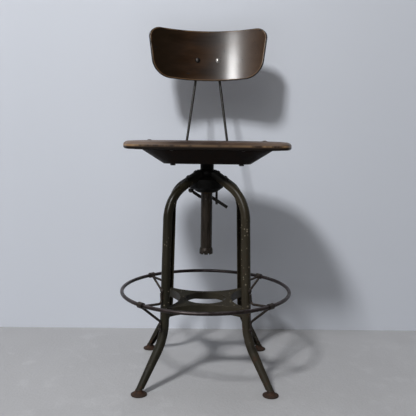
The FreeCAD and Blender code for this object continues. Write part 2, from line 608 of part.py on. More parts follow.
def spindle_pin():
    half = TUBE_RADIUS - TUBE_PIN_INSET
    return drill(TUBE_PIN_RADIUS, V(0, 0, TUBE_PIN_HEIGHT), Y_AXIS, half)


def thrust_washer():
    return sleeve(JOURNAL_RADIUS + RUNNING_FIT, THRUST_RADIUS, TUBE_TOP + SPINDLE_FLANGE, THRUST_TOP)


def spindle_washer():
    return sleeve(THREAD_RADIUS, WASHER_RADIUS, JOURNAL_TOP, JOURNAL_TOP + WASHER_THICK)


def spindle_nut():
    return nut(SPINDLE_NUT_FLATS, SPINDLE_NUT_HEIGHT, THREAD_RADIUS, V(0, 0, JOURNAL_TOP + WASHER_THICK))


# ---------------------------------------------------------------- seat
def rounded_rectangle(half_x, half_y, corner, height):
    """A closed outline with four round corners, level at a height."""
    cut = corner * (1 - math.sqrt(0.5))
    arcs = []
    for sx, sy in ((1, -1), (1, 1), (-1, 1), (-1, -1)):
        side = V(sx * half_x, sy * (half_y - corner), height)
        end = V(sx * (half_x - corner), sy * half_y, height)
        middle = V(sx * (half_x - cut), sy * (half_y - cut), height)
        first, last = (end, side) if sx * sy < 0 else (side, end)
        arcs.append(Part.Arc(first, middle, last).toShape())
    lines = []
    for index in range(4):
        here = arcs[index].Vertexes[-1].Point
        there = arcs[(index + 1) % 4].Vertexes[0].Point
        lines.append(Part.LineSegment(here, there).toShape())
    return Part.Wire([edge for pair in zip(arcs, lines) for edge in pair])


def seat_outline(height):
    """A straight front, bowed sides and a rounded rear, all in arcs that run on into each other."""
    side = V(SEAT_HALF_WIDTH - SEAT_SIDE_RADIUS, SEAT_WIDEST, height)
    front_y = SEAT_FRONT + SEAT_FRONT_CORNER
    reach = SEAT_SIDE_RADIUS - SEAT_FRONT_CORNER
    front = V(side.x + math.sqrt(reach**2 - (front_y - side.y) ** 2), front_y, height)
    front_turn = math.atan2(front.y - side.y, front.x - side.x)
    rear_turn = math.asin((SEAT_SIDE_END - SEAT_WIDEST) / SEAT_SIDE_RADIUS)
    reach = SEAT_SIDE_RADIUS - SEAT_REAR_CORNER
    rear = side + V(math.cos(rear_turn), math.sin(rear_turn), 0) * reach
    drop = SEAT_REAR - rear.y
    rear_radius = (rear.x**2 + drop**2 - SEAT_REAR_CORNER**2) / (2 * (drop - SEAT_REAR_CORNER))
    across = V(0, SEAT_REAR - rear_radius, height)
    across_turn = math.atan2(rear.y - across.y, rear.x - across.x)

    def on(centre, radius, turn, sign):
        return V(sign * (centre.x + radius * math.cos(turn)), centre.y + radius * math.sin(turn), height)

    edges = [Part.LineSegment(V(-front.x, SEAT_FRONT, height), V(front.x, SEAT_FRONT, height))]
    for centre, radius, start, end in ((front, SEAT_FRONT_CORNER, -math.pi / 2, front_turn),
                                       (side, SEAT_SIDE_RADIUS, front_turn, rear_turn),
                                       (rear, SEAT_REAR_CORNER, rear_turn, across_turn)):
        for sign in (1, -1):
            edges.append(Part.Arc(on(centre, radius, start, sign), on(centre, radius, (start + end) / 2, sign),
                                  on(centre, radius, end, sign)))
    edges.append(Part.Arc(on(across, rear_radius, across_turn, 1), V(0, SEAT_REAR, height),
                          on(across, rear_radius, across_turn, -1)))
    return Part.Wire(Part.__sortEdges__([edge.toShape() for edge in edges]))


def is_level(edge):
    heights = [vertex.Point.z for vertex in edge.Vertexes]
    return max(heights) - min(heights) < RUNNING_FIT


def pan_rim_low():
    return SEAT_TOP - SEAT_THICK - PAN_SHEET


def seat_bolt_places(height):
    x, y = SEAT_BOLT_AT
    return [V(side * x, y, height) for side in (-1, 1)]


def seat_screw_places(height):
    x, y = SEAT_SCREW_AT
    return [V(side * x, y, height) for side in (-1, 1)]


def seat_board():
    bottom = SEAT_TOP - SEAT_THICK
    slab = Part.Face(seat_outline(bottom)).extrude(V(0, 0, SEAT_THICK))
    slab = slab.makeFillet(SEAT_EDGE_RADIUS, [edge for edge in slab.Edges if is_level(edge)])
    holes = [drill(SEAT_BOLT_RADIUS, at) for at in seat_bolt_places(bottom)]
    holes += [drill(SEAT_SCREW_RADIUS, at, Z_AXIS, SEAT_SCREW_DEPTH) for at in seat_screw_places(bottom)]
    return slab.cut(holes)


def pan_form(inset):
    """The dish as a solid, shrunk all round by the inset."""
    floor = rounded_rectangle(PAN_FLOOR_HALF[0] - inset, PAN_FLOOR_HALF[1] - inset,
                              PAN_FLOOR_CORNER - inset, PAN_FLOOR + inset)
    mouth = rounded_rectangle(PAN_MOUTH_HALF[0] - inset, PAN_MOUTH_HALF[1] - inset,
                              PAN_MOUTH_CORNER - inset, SEAT_TOP - SEAT_THICK)
    return Part.makeLoft([floor, mouth], True, True)


def rod_points(side):
    """Corner under the seat and bolted foot of the rod on one side (1 right, -1 left)."""
    corner = V(side * ROD_SEAT[0], ROD_SEAT[1], ROD_SEAT[2])
    foot = V(side * ROD_FOOT[0], ROD_FOOT[1], ROD_FOOT[2])
    return corner, foot


def seat_pan():
    rim = Part.Face(rounded_rectangle(*PAN_RIM_HALF, PAN_RIM_CORNER, pan_rim_low()))
    shell = joined([pan_form(0.0), rim.extrude(V(0, 0, PAN_SHEET))]).cut(pan_form(PAN_SHEET))
    holes = [drill(SEAT_BOLT_RADIUS, at) for at in seat_bolt_places(pan_rim_low())]
    holes += [drill(SEAT_SCREW_RADIUS, at) for at in seat_screw_places(pan_rim_low())]
    holes.append(drill(SOCKET_RADIUS, V(0, 0, PAN_FLOOR), Z_AXIS, SOCKET_FLANGE_THICK))
    holes += [drill(SOCKET_RIVET[0], at) for at in socket_rivet_places()]
    for side in (1, -1):
        corner, foot = rod_points(side)
        holes.append(drill(ROD_BOLT_RADIUS, V(foot.x, foot.y, PAN_FLOOR)))
        run = foot + Y_AXIS * ROD_PAST_FOOT - corner
        holes.append(disc(ROD_RADIUS + ROD_WAY_CLEAR, run.Length * ROD_WAY_SHARE, corner, run))
    return shell.cut(holes)


def seat_bolts():
    grip = SEAT_TOP - pan_rim_low() + SEAT_BOLT_TAIL
    return group([rivet(at, Z_AXIS, SEAT_BOLT_RADIUS, grip, SEAT_BOLT_HEAD, SEAT_BOLT_DOME)
                  for at in seat_bolt_places(SEAT_TOP)])


def seat_nuts():
    low = pan_rim_low() - SEAT_NUT_HEIGHT
    return group([nut(SEAT_NUT_FLATS, SEAT_NUT_HEIGHT, SEAT_BOLT_RADIUS, at) for at in seat_bolt_places(low)])


def seat_screws():
    grip = PAN_SHEET + SEAT_SCREW_DEPTH
    return group([rivet(at, Z_AXIS * -1, SEAT_SCREW_RADIUS, grip, SEAT_SCREW_HEAD, SEAT_SCREW_DOME)
                  for at in seat_screw_places(pan_rim_low())])


def seat_socket():
    bore = JOURNAL_RADIUS + RUNNING_FIT + BUSH_WALL
    floor_top = PAN_FLOOR + PAN_SHEET
    flange_top = floor_top + SOCKET_FLANGE_THICK
    shape = spun([(bore, SOCKET_BOTTOM), (SOCKET_RADIUS - SOCKET_BEVEL, SOCKET_BOTTOM),
                  (SOCKET_RADIUS, SOCKET_BOTTOM + SOCKET_BEVEL), (SOCKET_RADIUS, floor_top),
                  (SOCKET_FLANGE_RADIUS, floor_top), (SOCKET_FLANGE_RADIUS, flange_top),
                  (SOCKET_RADIUS, flange_top), (SOCKET_RADIUS, SOCKET_TOP), (bore, SOCKET_TOP)])
    return shape.cut([drill(SOCKET_RIVET[0], at) for at in socket_rivet_places()])


def socket_bush():
    inner = JOURNAL_RADIUS + RUNNING_FIT
    return sleeve(inner, inner + BUSH_WALL, SOCKET_BOTTOM, SOCKET_TOP)


def socket_rivet_places():
    places = []
    for index in range(SOCKET_RIVET_COUNT):
        angle = math.radians(360 * (index + 0.5) / SOCKET_RIVET_COUNT)
        places.append(V(SOCKET_RIVET_RADIUS * math.cos(angle), SOCKET_RIVET_RADIUS * math.sin(angle),
                        PAN_FLOOR + PAN_SHEET + SOCKET_FLANGE_THICK))
    return places


def socket_rivets():
    shank, grip, head, dome = SOCKET_RIVET
    rivets = []
    for at in socket_rivet_places():
        top = rivet(at, Z_AXIS, shank, grip, head, dome)
        bottom = rivet(at - Z_AXIS * grip, Z_AXIS * -1, shank, SOCKET_BEVEL, head, SOCKET_RIVET_TAIL)
        rivets.append(joined([top, bottom]))
    return group(rivets)


# ---------------------------------------------------------------- back rods
def back_rod():
    """The right-hand rod: eye on the back's pin, straight stay, bend under the seat, bolted foot."""
    top = V(*ROD_TOP)
    corner, foot = rod_points(1)
    rod = round_rod([top, corner, foot + Y_AXIS * ROD_PAST_FOOT], (ROD_BEND_RADIUS,), ROD_RADIUS)
    eye = disc(ROD_EYE_RADIUS, ROD_EYE_LENGTH, top - X_AXIS * (ROD_EYE_LENGTH / 2), X_AXIS)
    pad_base = V(foot.x, foot.y, PAN_FLOOR + PAN_SHEET)
    pad = disc(ROD_PAD_RADIUS, ROD_PAD_HEIGHT, pad_base)
    bore = drill(BACK_PIN_RADIUS + RUNNING_FIT, top, X_AXIS)
    bolt_way = drill(ROD_BOLT_RADIUS, pad_base)
    above = disc(ROD_PAD_RADIUS + ROD_RADIUS, SPARE, pad_base + Z_AXIS * ROD_PAD_HEIGHT)
    below = disc(ROD_PAD_RADIUS + ROD_RADIUS, SPARE, pad_base - Z_AXIS * SPARE)
    return joined([rod, eye, pad]).cut([bore, bolt_way, above, below])


def rod_bolts():
    bolts = []
    for side in (1, -1):
        _, foot = rod_points(side)
        base = V(foot.x, foot.y, PAN_FLOOR)
        head = hexagon(ROD_BOLT_FLATS, ROD_BOLT_HEAD, base - Z_AXIS * ROD_BOLT_HEAD)
        bolts.append(joined([head, disc(ROD_BOLT_RADIUS, ROD_BOLT_TAIL, base)]))
    return group(bolts)


def rod_nuts():
    nuts = []
    for side in (1, -1):
        _, foot = rod_points(side)
        base = V(foot.x, foot.y, PAN_FLOOR + PAN_SHEET + ROD_PAD_HEIGHT)
        nuts.append(nut(ROD_BOLT_FLATS, ROD_NUT_HEIGHT, ROD_BOLT_RADIUS, base))
    return group(nuts)


# ---------------------------------------------------------------- back
# The back is drawn upright about its pin: y = 0 is the bracket's rear face, z = 0 the pin's height.
def leaned(shape):
    """Put an upright back shape in place behind the seat."""
    pin = V(0, ROD_TOP[1], ROD_TOP[2])
    shape.translate(V(0, pin.y - BACK_PIN_BEHIND, pin.z))
    return turned(shape, -BACK_TILT, pin, X_AXIS)


def back_outline():
    """Front outline of the panel, from arcs and two straight sides."""
    middle = BACK_CENTRE_Z - ROD_TOP[2]
    top, bottom = middle + BACK_HALF_HEIGHT, middle - BACK_HALF_HEIGHT
    edge_top = top + BACK_TOP_RISE
    corner_x = BACK_HALF_WIDTH - BACK_TOP_CORNER
    corner_z = edge_top - BACK_TOP_CORNER
    diagonal = BACK_TOP_CORNER * math.sqrt(0.5)

    def below_middle(point):
        return V(point[0], 0, middle + point[1])

    side_top = V(BACK_HALF_WIDTH, 0, corner_z)
    side_foot = below_middle(BACK_SIDE_FOOT)
    bottom_end = below_middle(BACK_BOTTOM_END)
    edge_end = V(corner_x, 0, edge_top)
    half = [Part.Arc(V(0, 0, top), V(corner_x / 2, 0, top + BACK_TOP_RISE / 4), edge_end),
            Part.Arc(edge_end, V(corner_x + diagonal, 0, corner_z + diagonal), side_top),
            Part.LineSegment(side_top, side_foot),
            Part.Arc(side_foot, below_middle(BACK_LOWER_CORNER), bottom_end),
            Part.Arc(bottom_end, below_middle(BACK_BOTTOM_BULGE), V(0, 0, bottom))]
    right = [curve.toShape() for curve in half]
    left = [mirrored_x(edge) for edge in right]
    return Part.Wire(Part.__sortEdges__(right + left))


def back_arc(front_y, rear_y, half_width, low, high):
    """Part of an upright tube wall: concave to the front, with its faces at the given y on centre."""
    axis_y = front_y - BACK_CURVE_RADIUS
    outer = disc(rear_y - axis_y, high - low, V(0, axis_y, low))
    inner = disc(front_y - axis_y, high - low, V(0, axis_y, low))
    window = box(-half_width, half_width, axis_y + BACK_CURVE_RADIUS / 2, rear_y + SPARE, low, high)
    return outer.cut(inner).common(window)


def back_bolt_places(y):
    return [V(x, y, BACK_BOLT_Z - ROD_TOP[2]) for x in (-BACK_BOLT_HALF, BACK_BOLT_HALF)]


def back_bolt_ways():
    return [drill(BACK_BOLT_RADIUS, at, Y_AXIS) for at in back_bolt_places(0.0)]


def panel_wall(half_width):
    """The panel's curved wall, tall enough for its outline to be cut from it."""
    rear = -BRACKET_SHEET
    reach = 2 * BACK_HALF_HEIGHT
    return back_arc(rear - BACK_THICK, rear, half_width, -reach, reach)


def backrest_panel():
    prism = Part.Face(back_outline()).extrude(V(0, FAR, 0))
    prism.translate(V(0, -FAR / 2, 0))
    return leaned(panel_wall(BACK_HALF_WIDTH + SPARE).common(prism).cut(back_bolt_ways()))


def back_bracket():
    plate_top = BACK_BOLT_Z - ROD_TOP[2] + BACK_PLATE_ABOVE
    plate = back_arc(-BRACKET_SHEET, 0, BACK_PLATE_HALF, -BACK_PLATE_BELOW, plate_top)
    ears = []
    for side in (-1, 1):
        for inner_face in (ROD_TOP[0] - EAR_INNER_GAP, ROD_TOP[0] + EAR_HALF_GAP):
            x0 = inner_face if side > 0 else -(inner_face + BRACKET_SHEET)
            tongue = box(x0, x0 + BRACKET_SHEET, -EAR_ROOT, BACK_PIN_BEHIND, -EAR_RADIUS, EAR_RADIUS)
            nose = disc(EAR_RADIUS, BRACKET_SHEET, V(x0, BACK_PIN_BEHIND, 0), X_AXIS)
            ears += [tongue, nose]
    pin_way = drill(BACK_PIN_RADIUS, V(0, BACK_PIN_BEHIND, 0), X_AXIS, BACK_HALF_WIDTH)
    cuts = [panel_wall(BACK_PLATE_HALF + SPARE), pin_way] + back_bolt_ways()
    return leaned(joined([plate] + ears).cut(cuts))


def back_pin():
    half = ROD_TOP[0] + EAR_HALF_GAP + BRACKET_SHEET
    centre = V(0, BACK_PIN_BEHIND, 0)
    head_radius, head_height = BACK_PIN_HEAD
    tail_radius, tail_height = BACK_PIN_TAIL
    shank = drill(BACK_PIN_RADIUS, centre, X_AXIS, half + tail_height)
    head = disc(head_radius, head_height, centre + X_AXIS * half, X_AXIS)
    tail = disc(tail_radius, tail_height, centre - X_AXIS * (half + tail_height), X_AXIS)
    return leaned(joined([shank, head, tail]))


def back_surface(x, radius, front_y):
    """y of a curved face at x, where the face has this radius and this y on centre."""
    return front_y - radius + math.sqrt(radius ** 2 - x ** 2)


def back_faces_at_bolts():
    """y of the panel's hollow face and of the bracket's rear face beside the bolts."""
    front = back_surface(BACK_BOLT_HALF, BACK_CURVE_RADIUS, -BRACKET_SHEET - BACK_THICK)
    rear_radius = BACK_CURVE_RADIUS + BACK_THICK + BRACKET_SHEET
    return front, back_surface(BACK_BOLT_HALF, rear_radius, 0)


def back_bolts():
    front, rear = back_faces_at_bolts()
    wall = panel_wall(2 * BACK_BOLT_HALF).cut(back_bolt_ways())
    grip = rear - front + BACK_BOLT_TAIL + BACK_FACE_LIFT
    bolts = []
    for at in back_bolt_places(front - BACK_FACE_LIFT):
        head = rivet(at, Y_AXIS * -1, BACK_BOLT_RADIUS, grip, BACK_BOLT_HEAD, BACK_BOLT_DOME)
        skirt = disc(BACK_BOLT_HEAD, BACK_BOLT_SKIRT, at, Y_AXIS)
        bolts.append(joined([head, skirt]).cut(wall))
    return leaned(group(bolts))


def back_washers():
    _, rear = back_faces_at_bolts()
    washers = [disc(BACK_WASHER_RADIUS, BACK_WASHER_THICK, at, Y_AXIS).cut(back_bolt_ways())
               for at in back_bolt_places(rear + BACK_FACE_LIFT)]
    return leaned(group(washers))


def back_nuts():
    _, rear = back_faces_at_bolts()
    base_y = rear + BACK_FACE_LIFT + BACK_WASHER_THICK
    return leaned(group([nut(BACK_NUT_FLATS, BACK_NUT_HEIGHT, BACK_BOLT_RADIUS, at, Y_AXIS)
                         for at in back_bolt_places(base_y)]))


# ---------------------------------------------------------------- the whole chair
def chair():
    nodes = {}
    one_leg, one_bracket, one_glide = leg(), ring_bracket(), foot_glide()
    for corner, angle in LEGS.items():
        nodes["leg_" + corner] = turned(one_leg, angle)
        nodes["ring_bracket_" + corner] = turned(one_bracket, angle)
        nodes["foot_glide_" + corner] = turned(one_glide, angle)
    right_rod = back_rod()
    nodes["back_rod_right"] = right_rod
    nodes["back_rod_left"] = mirrored_x(right_rod)
    makers = [hub_casting, hub_sleeve, hub_rivets, stretcher_plate, stretcher_rivets, foot_ring,
              bracket_rivets, glide_studs, release_lever, lever_pin, lever_spring, lever_keeper,
              keeper_screw, lift_tube, stop_nut, spindle, spindle_pin, thrust_washer, spindle_washer,
              spindle_nut, seat_board, seat_pan, seat_bolts, seat_nuts, seat_screws, seat_socket,
              socket_bush, socket_rivets, rod_bolts, rod_nuts, backrest_panel, back_bracket, back_pin,
              back_bolts, back_washers, back_nuts]
    for maker in makers:
        nodes[maker.__name__] = maker()
    return nodes


os.makedirs("parts", exist_ok=True)
for name, shape in chair().items():
    print(name, "solids", len(shape.Solids), "valid", shape.isValid(), "volume", round(shape.Volume))
    shape.exportStep("parts/" + name + ".step")
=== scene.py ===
"""Looks of the drafting chair: camera, plain studio, procedural materials and the two plywood pieces."""
import json
import math

import bpy
from mathutils import Matrix, Vector


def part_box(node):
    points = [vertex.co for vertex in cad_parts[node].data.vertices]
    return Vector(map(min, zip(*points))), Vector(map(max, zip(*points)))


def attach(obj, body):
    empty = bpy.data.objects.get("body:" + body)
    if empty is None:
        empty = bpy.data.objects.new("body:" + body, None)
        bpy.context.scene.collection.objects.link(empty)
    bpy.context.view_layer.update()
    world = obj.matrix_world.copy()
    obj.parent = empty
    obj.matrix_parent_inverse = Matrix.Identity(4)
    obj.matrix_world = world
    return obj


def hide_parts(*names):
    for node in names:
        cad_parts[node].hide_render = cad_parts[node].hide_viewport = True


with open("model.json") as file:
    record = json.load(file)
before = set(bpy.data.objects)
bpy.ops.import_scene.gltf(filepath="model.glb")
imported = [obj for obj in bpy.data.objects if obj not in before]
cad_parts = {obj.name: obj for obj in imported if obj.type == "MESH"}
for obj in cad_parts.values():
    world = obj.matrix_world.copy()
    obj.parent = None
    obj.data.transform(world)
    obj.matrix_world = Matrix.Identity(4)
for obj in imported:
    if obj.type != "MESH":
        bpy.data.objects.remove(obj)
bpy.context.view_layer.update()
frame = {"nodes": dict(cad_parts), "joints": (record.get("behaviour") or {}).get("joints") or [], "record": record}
MM = 0.001

# ---------------------------------------------------------------- camera and studio
CAMERA_AT = (-0.0126, -1.786, 0.724)
CAMERA_DOWN, CAMERA_TURN, CAMERA_ROLL = 7.14, -0.54, 0.72      # degrees
CAMERA_LENS, CAMERA_SENSOR = 52.53, 36.0

WALL_Y, WALL_HALF, WALL_HEIGHT = 0.392, 5.0, 4.0
WALL_LEAN = math.tan(math.radians(5.4))        # the backdrop comes forward by this share of its height
FLOOR_HALF = 6.0
WALL_COLOUR = (0.720, 0.755, 0.825)
FLOOR_COLOUR = (0.515, 0.514, 0.524)
SKY_COLOUR, SKY_STRENGTH = (1.0, 0.965, 0.90), 0.055

KEY_AT, KEY_AIM = (-1.78, -3.15, 4.22), (0.0, 0.1, 0.75)
KEY_SIZE, KEY_POWER, KEY_COLOUR = 0.64, 184.0, (0.985, 0.99, 1.0)
FILL_AT, FILL_AIM = (-1.0, -1.3, 3.0), (0.0, 0.2, 0.4)     # broad and weak, lifts the shadows
FILL_SIZE, FILL_POWER, FILL_COLOUR = 3.2, 14.0, (1.0, 0.955, 0.87)
STRIP_AT, STRIP_AIM = (-1.10, -2.55, 1.78), (0.07, 0.2, 0.95)   # reflected by glossy faces only
STRIP_SIZE, STRIP_POWER = 0.40, 50.0


def make_camera():
    data = bpy.data.cameras.new("camera")
    data.lens = CAMERA_LENS
    data.sensor_width = CAMERA_SENSOR
    camera = bpy.data.objects.new("camera", data)
    bpy.context.scene.collection.objects.link(camera)
    turn = Matrix.Rotation(math.radians(CAMERA_TURN), 4, "Z")
    tip = Matrix.Rotation(math.radians(90 - CAMERA_DOWN), 4, "X")
    roll = Matrix.Rotation(math.radians(CAMERA_ROLL), 4, "Z")
    camera.matrix_world = Matrix.Translation(CAMERA_AT) @ turn @ tip @ roll
    bpy.context.scene.camera = camera


def area_light(name, at, aim, size, power, colour):
    data = bpy.data.lights.new(name, "AREA")
    data.shape = "SQUARE"
    data.size = size
    data.energy = power
    data.color = colour
    light = bpy.data.objects.new(name, data)
    bpy.context.scene.collection.objects.link(light)
    light.location = at
    light.rotation_euler = (Vector(aim) - Vector(at)).to_track_quat("-Z", "Y").to_euler()
    return light


def make_world():
    world = bpy.data.worlds.new("studio")
    bpy.context.scene.world = world
    world.use_nodes = True
    background = world.node_tree.nodes["Background"]
    background.inputs["Color"].default_value = (*SKY_COLOUR, 1.0)
    background.inputs["Strength"].default_value = SKY_STRENGTH


def mesh_object(name, points, faces):
    mesh = bpy.data.meshes.new(name)
    mesh.from_pydata([tuple(p) for p in points], [], faces)
    mesh.update()
    made = bpy.data.objects.new(name, mesh)
    bpy.context.scene.collection.objects.link(made)
    return made


# ---------------------------------------------------------------- materials
PAINTED_SHADE_FROM, PAINTED_SHADE_FULL = 0.578, 0.606         # heights on the legs, just under the hub's arms, where painted shade turns them near black
CHIPPED_LEG_X, CHIPPED_LEG_Y = 0.10, -0.10      # the front right leg stands outside these
BACK_BOLTS_ABOVE, UNDERSIDE_ABOVE, SEAT_FACE = 0.90, 0.60, 0.692        # heights that tell bolts apart
BACK_PLIES, SEAT_PLIES = 3.0, 6.5               # light and dark pairs seen through each board's edge
EDGE_SAMPLES = 6


def scaled(colour, share):
    """The colour made darker or lighter, and no brighter than 1."""
    return tuple(min(1.0, share * level) for level in colour)


class Shader:
    """Short calls for building one material's node tree, in the row frame's metres."""

    def __init__(self, name, roughness=0.5, metallic=0.0):
        self.material = bpy.data.materials.new(name)
        self.material.use_nodes = True
        self.nodes = self.material.node_tree.nodes
        self.links = self.material.node_tree.links
        self.surface = self.nodes["Principled BSDF"]
        self.place = self.nodes.new("ShaderNodeTexCoord").outputs["Object"]
        self.put("Roughness", roughness)
        self.put("Metallic", metallic)

    def feed(self, socket, value):
        if isinstance(value, bpy.types.NodeSocket):
            self.links.new(value, socket)
        elif isinstance(value, tuple) and len(value) == 3 and socket.type == "RGBA":
            socket.default_value = (*value, 1.0)
        else:
            socket.default_value = value

    def put(self, socket_name, value):
        self.feed(self.surface.inputs[socket_name], value)

    def stretched(self, stretch):
        node = self.nodes.new("ShaderNodeMapping")
        self.feed(node.inputs["Vector"], self.place)
        node.inputs["Scale"].default_value = stretch
        return node.outputs["Vector"]

    def noise(self, scale, stretch=(1, 1, 1), detail=5.0, roughness=0.55, distortion=0.0):
        node = self.nodes.new("ShaderNodeTexNoise")
        self.feed(node.inputs["Vector"], self.stretched(stretch))
        node.inputs["Scale"].default_value = scale
        node.inputs["Detail"].default_value = detail
        node.inputs["Roughness"].default_value = roughness
        node.inputs["Distortion"].default_value = distortion
        return node.outputs["Fac"]

    def ramp(self, value, stops):
        node = self.nodes.new("ShaderNodeValToRGB")
        self.feed(node.inputs["Fac"], value)
        bar = node.color_ramp
        while len(bar.elements) < len(stops):
            bar.elements.new(1.0)
        for element, (at, level) in zip(bar.elements, stops):
            element.position = at
            element.color = (*level, 1.0) if isinstance(level, tuple) else (level, level, level, 1.0)
        return node.outputs["Color"]

    def math(self, operation, a, b=0.0):
        node = self.nodes.new("ShaderNodeMath")
        node.operation = operation
        self.feed(node.inputs[0], a)
        self.feed(node.inputs[1], b)
        return node.outputs[0]

    def times(self, *values):
        product = values[0]
        for value in values[1:]:
            product = self.math("MULTIPLY", product, value)
        return product

    def most(self, a, b):
        return self.math("MAXIMUM", a, b)

    def span(self, value, low, high, start=0.0, end=1.0):
        """value from low to high as start to end, held at both ends."""
        node = self.nodes.new("ShaderNodeMapRange")
        node.interpolation_type = "SMOOTHSTEP"
        for name, number in (("From Min", low), ("From Max", high), ("To Min", start), ("To Max", end)):
            node.inputs[name].default_value = number
        self.feed(node.inputs["Value"], value)
        return node.outputs["Result"]

    def fade(self, value, low, high, start=1.0):
        """value from low to high as start to 0, held at both ends."""
        return self.span(value, low, high, start, 0.0)

    def mix(self, share, a, b):
        node = self.nodes.new("ShaderNodeMix")
        node.data_type = "RGBA"
        self.feed(node.inputs["Factor"], share)
        self.feed(node.inputs[6], a)
        self.feed(node.inputs[7], b)
        return node.outputs[2]

    def specks(self, scale, share, size, stretch=(1, 1, 1)):
        """Small separate spots: one in some of the cells, at its middle."""
        node = self.nodes.new("ShaderNodeTexVoronoi")
        self.feed(node.inputs["Vector"], self.stretched(stretch))
        node.inputs["Scale"].default_value = scale
        parts = self.nodes.new("ShaderNodeSeparateColor")
        self.feed(parts.inputs["Color"], node.outputs["Color"])
        chosen = self.math("GREATER_THAN", parts.outputs[0], 1.0 - share)
        spread = self.times(parts.outputs[1], size)
        near = self.math("LESS_THAN", node.outputs["Distance"], spread)
        return self.times(chosen, near)

    def hairlines(self, scale, stretch, width):
        """Thin wandering scratches, where a stretched noise crosses its middle value."""
        value = self.noise(scale, stretch, 2.0, 0.5, 0.3)
        away = self.math("ABSOLUTE", self.math("SUBTRACT", value, 0.5))
        return self.fade(away, 0.0, width)

    def part_of(self, socket, index):
        node = self.nodes.new("ShaderNodeSeparateXYZ")
        self.feed(node.inputs[0], socket)
        return node.outputs[index]

    def up(self):
        """How far a face looks up: 1 up, 0 upright, -1 down."""
        face = self.nodes.new("ShaderNodeNewGeometry")
        return self.part_of(face.outputs["Normal"], 2)

    def height(self):
        return self.part_of(self.place, 2)

    def side(self):
        return self.part_of(self.place, 0)

    def rearward(self):
        return self.part_of(self.place, 1)

    def painted(self, name):
        """A number that the mesh carries at each of its points."""
        node = self.nodes.new("ShaderNodeAttribute")
        node.attribute_name = name
        return node.outputs["Fac"]

    def soft_edges(self, radius):
        node = self.nodes.new("ShaderNodeBevel")
        node.samples = EDGE_SAMPLES
        node.inputs["Radius"].default_value = radius
        return node.outputs["Normal"]

    def edge_wear(self, radius, low=0.90, high=0.995):
        """1 on sharp edges, 0 on plain faces."""
        plain = self.nodes.new("ShaderNodeNewGeometry")
        dot = self.nodes.new("ShaderNodeVectorMath")
        dot.operation = "DOT_PRODUCT"
        self.feed(dot.inputs[0], self.soft_edges(radius))
        self.feed(dot.inputs[1], plain.outputs["Normal"])
        return self.fade(dot.outputs["Value"], low, high)

    def bump(self, height, depth, edge_radius=0.0):
        node = self.nodes.new("ShaderNodeBump")
        node.inputs["Strength"].default_value = 1.0
        node.inputs["Distance"].default_value = depth
        self.feed(node.inputs["Height"], height)
        if edge_radius:
            self.feed(node.inputs["Normal"], self.soft_edges(edge_radius))
        self.put("Normal", node.outputs["Normal"])


def leg_enamel():
    """Old olive-brown enamel: tan chips, scuffs, painted shade near black at the top by the hub, and more rust
    near the floor.
    """
    s = Shader("leg_enamel")
    tone = s.noise(22.0, (1, 1, 0.35), 6.0)
    paint = s.ramp(tone, [(0.30, (0.0112, 0.0098, 0.0055)), (0.55, (0.0212, 0.0184, 0.0104)),
                          (0.75, (0.0320, 0.0272, 0.0158))])
    right = s.span(s.side(), -0.02, 0.06)
    paint = s.mix(s.times(right, 0.42), paint, (0.0500, 0.0400, 0.0255))
    low = s.fade(s.height(), 0.02, 0.22)
    rust_field = s.math("ADD", s.noise(46.0, (1, 1, 1), 8.0, 0.65), s.times(low, 0.07))
    rust = s.span(rust_field, 0.60, 0.70)
    rust_tone = s.ramp(s.noise(160.0), [(0.3, (0.030, 0.016, 0.010)), (0.7, (0.075, 0.038, 0.020))])
    colour = s.mix(rust, paint, rust_tone)
    wear = s.times(s.edge_wear(0.0012), s.span(s.noise(70.0, (1, 1, 0.5)), 0.42, 0.60))
    colour = s.mix(wear, colour, (0.115, 0.095, 0.070))
    scuffs = s.times(s.hairlines(28.0, (1, 1, 0.25), 0.006), s.span(s.noise(9.0), 0.50, 0.66))
    colour = s.mix(s.times(scuffs, 0.55), colour, (0.110, 0.098, 0.075))
    chips = s.times(s.specks(190.0, 0.12, 0.40), s.span(s.noise(7.0), 0.46, 0.62))
    column = s.times(s.span(s.side(), CHIPPED_LEG_X - 0.01, CHIPPED_LEG_X),
                     s.fade(s.rearward(), CHIPPED_LEG_Y, CHIPPED_LEG_Y + 0.02),
                     s.span(s.height(), 0.20, 0.27), s.fade(s.height(), 0.44, 0.50))
    chips = s.most(chips, s.times(s.specks(150.0, 0.30, 0.42), column))
    chips = s.most(chips, s.times(s.specks(120.0, 0.16, 0.34), s.span(s.up(), 0.60, 0.90)))
    colour = s.mix(s.times(chips, 0.75), colour, (0.300, 0.255, 0.190))
    # painted shade: the leg tops under the hub go near black in place of the seat's shadow; the same mask makes
    # them rougher
    painted_shade_top = s.span(s.math("ADD", s.height(), s.times(tone, 0.020)), PAINTED_SHADE_FROM, PAINTED_SHADE_FULL)
    colour = s.mix(s.times(painted_shade_top, 0.88), colour, (0.0024, 0.0020, 0.0013))
    s.put("Base Color", colour)
    dull = s.most(s.fade(s.height(), 0.10, 0.24, 0.26), s.span(s.up(), 0.80, 0.97, 0.0, 0.50))
    matt = s.math("ADD", s.span(tone, 0.3, 0.8, 0.27, 0.45), dull)
    s.put("Roughness", s.math("ADD", matt, s.times(s.most(rust, painted_shade_top), 0.25)))
    s.put("Specular IOR Level", 0.19)
    grain = s.math("ADD", s.times(s.noise(420.0), 0.35), s.times(rust, 0.65))
    s.bump(s.math("SUBTRACT", grain, s.times(chips, 1.2)), 0.00022, 0.0009)
    return s.material


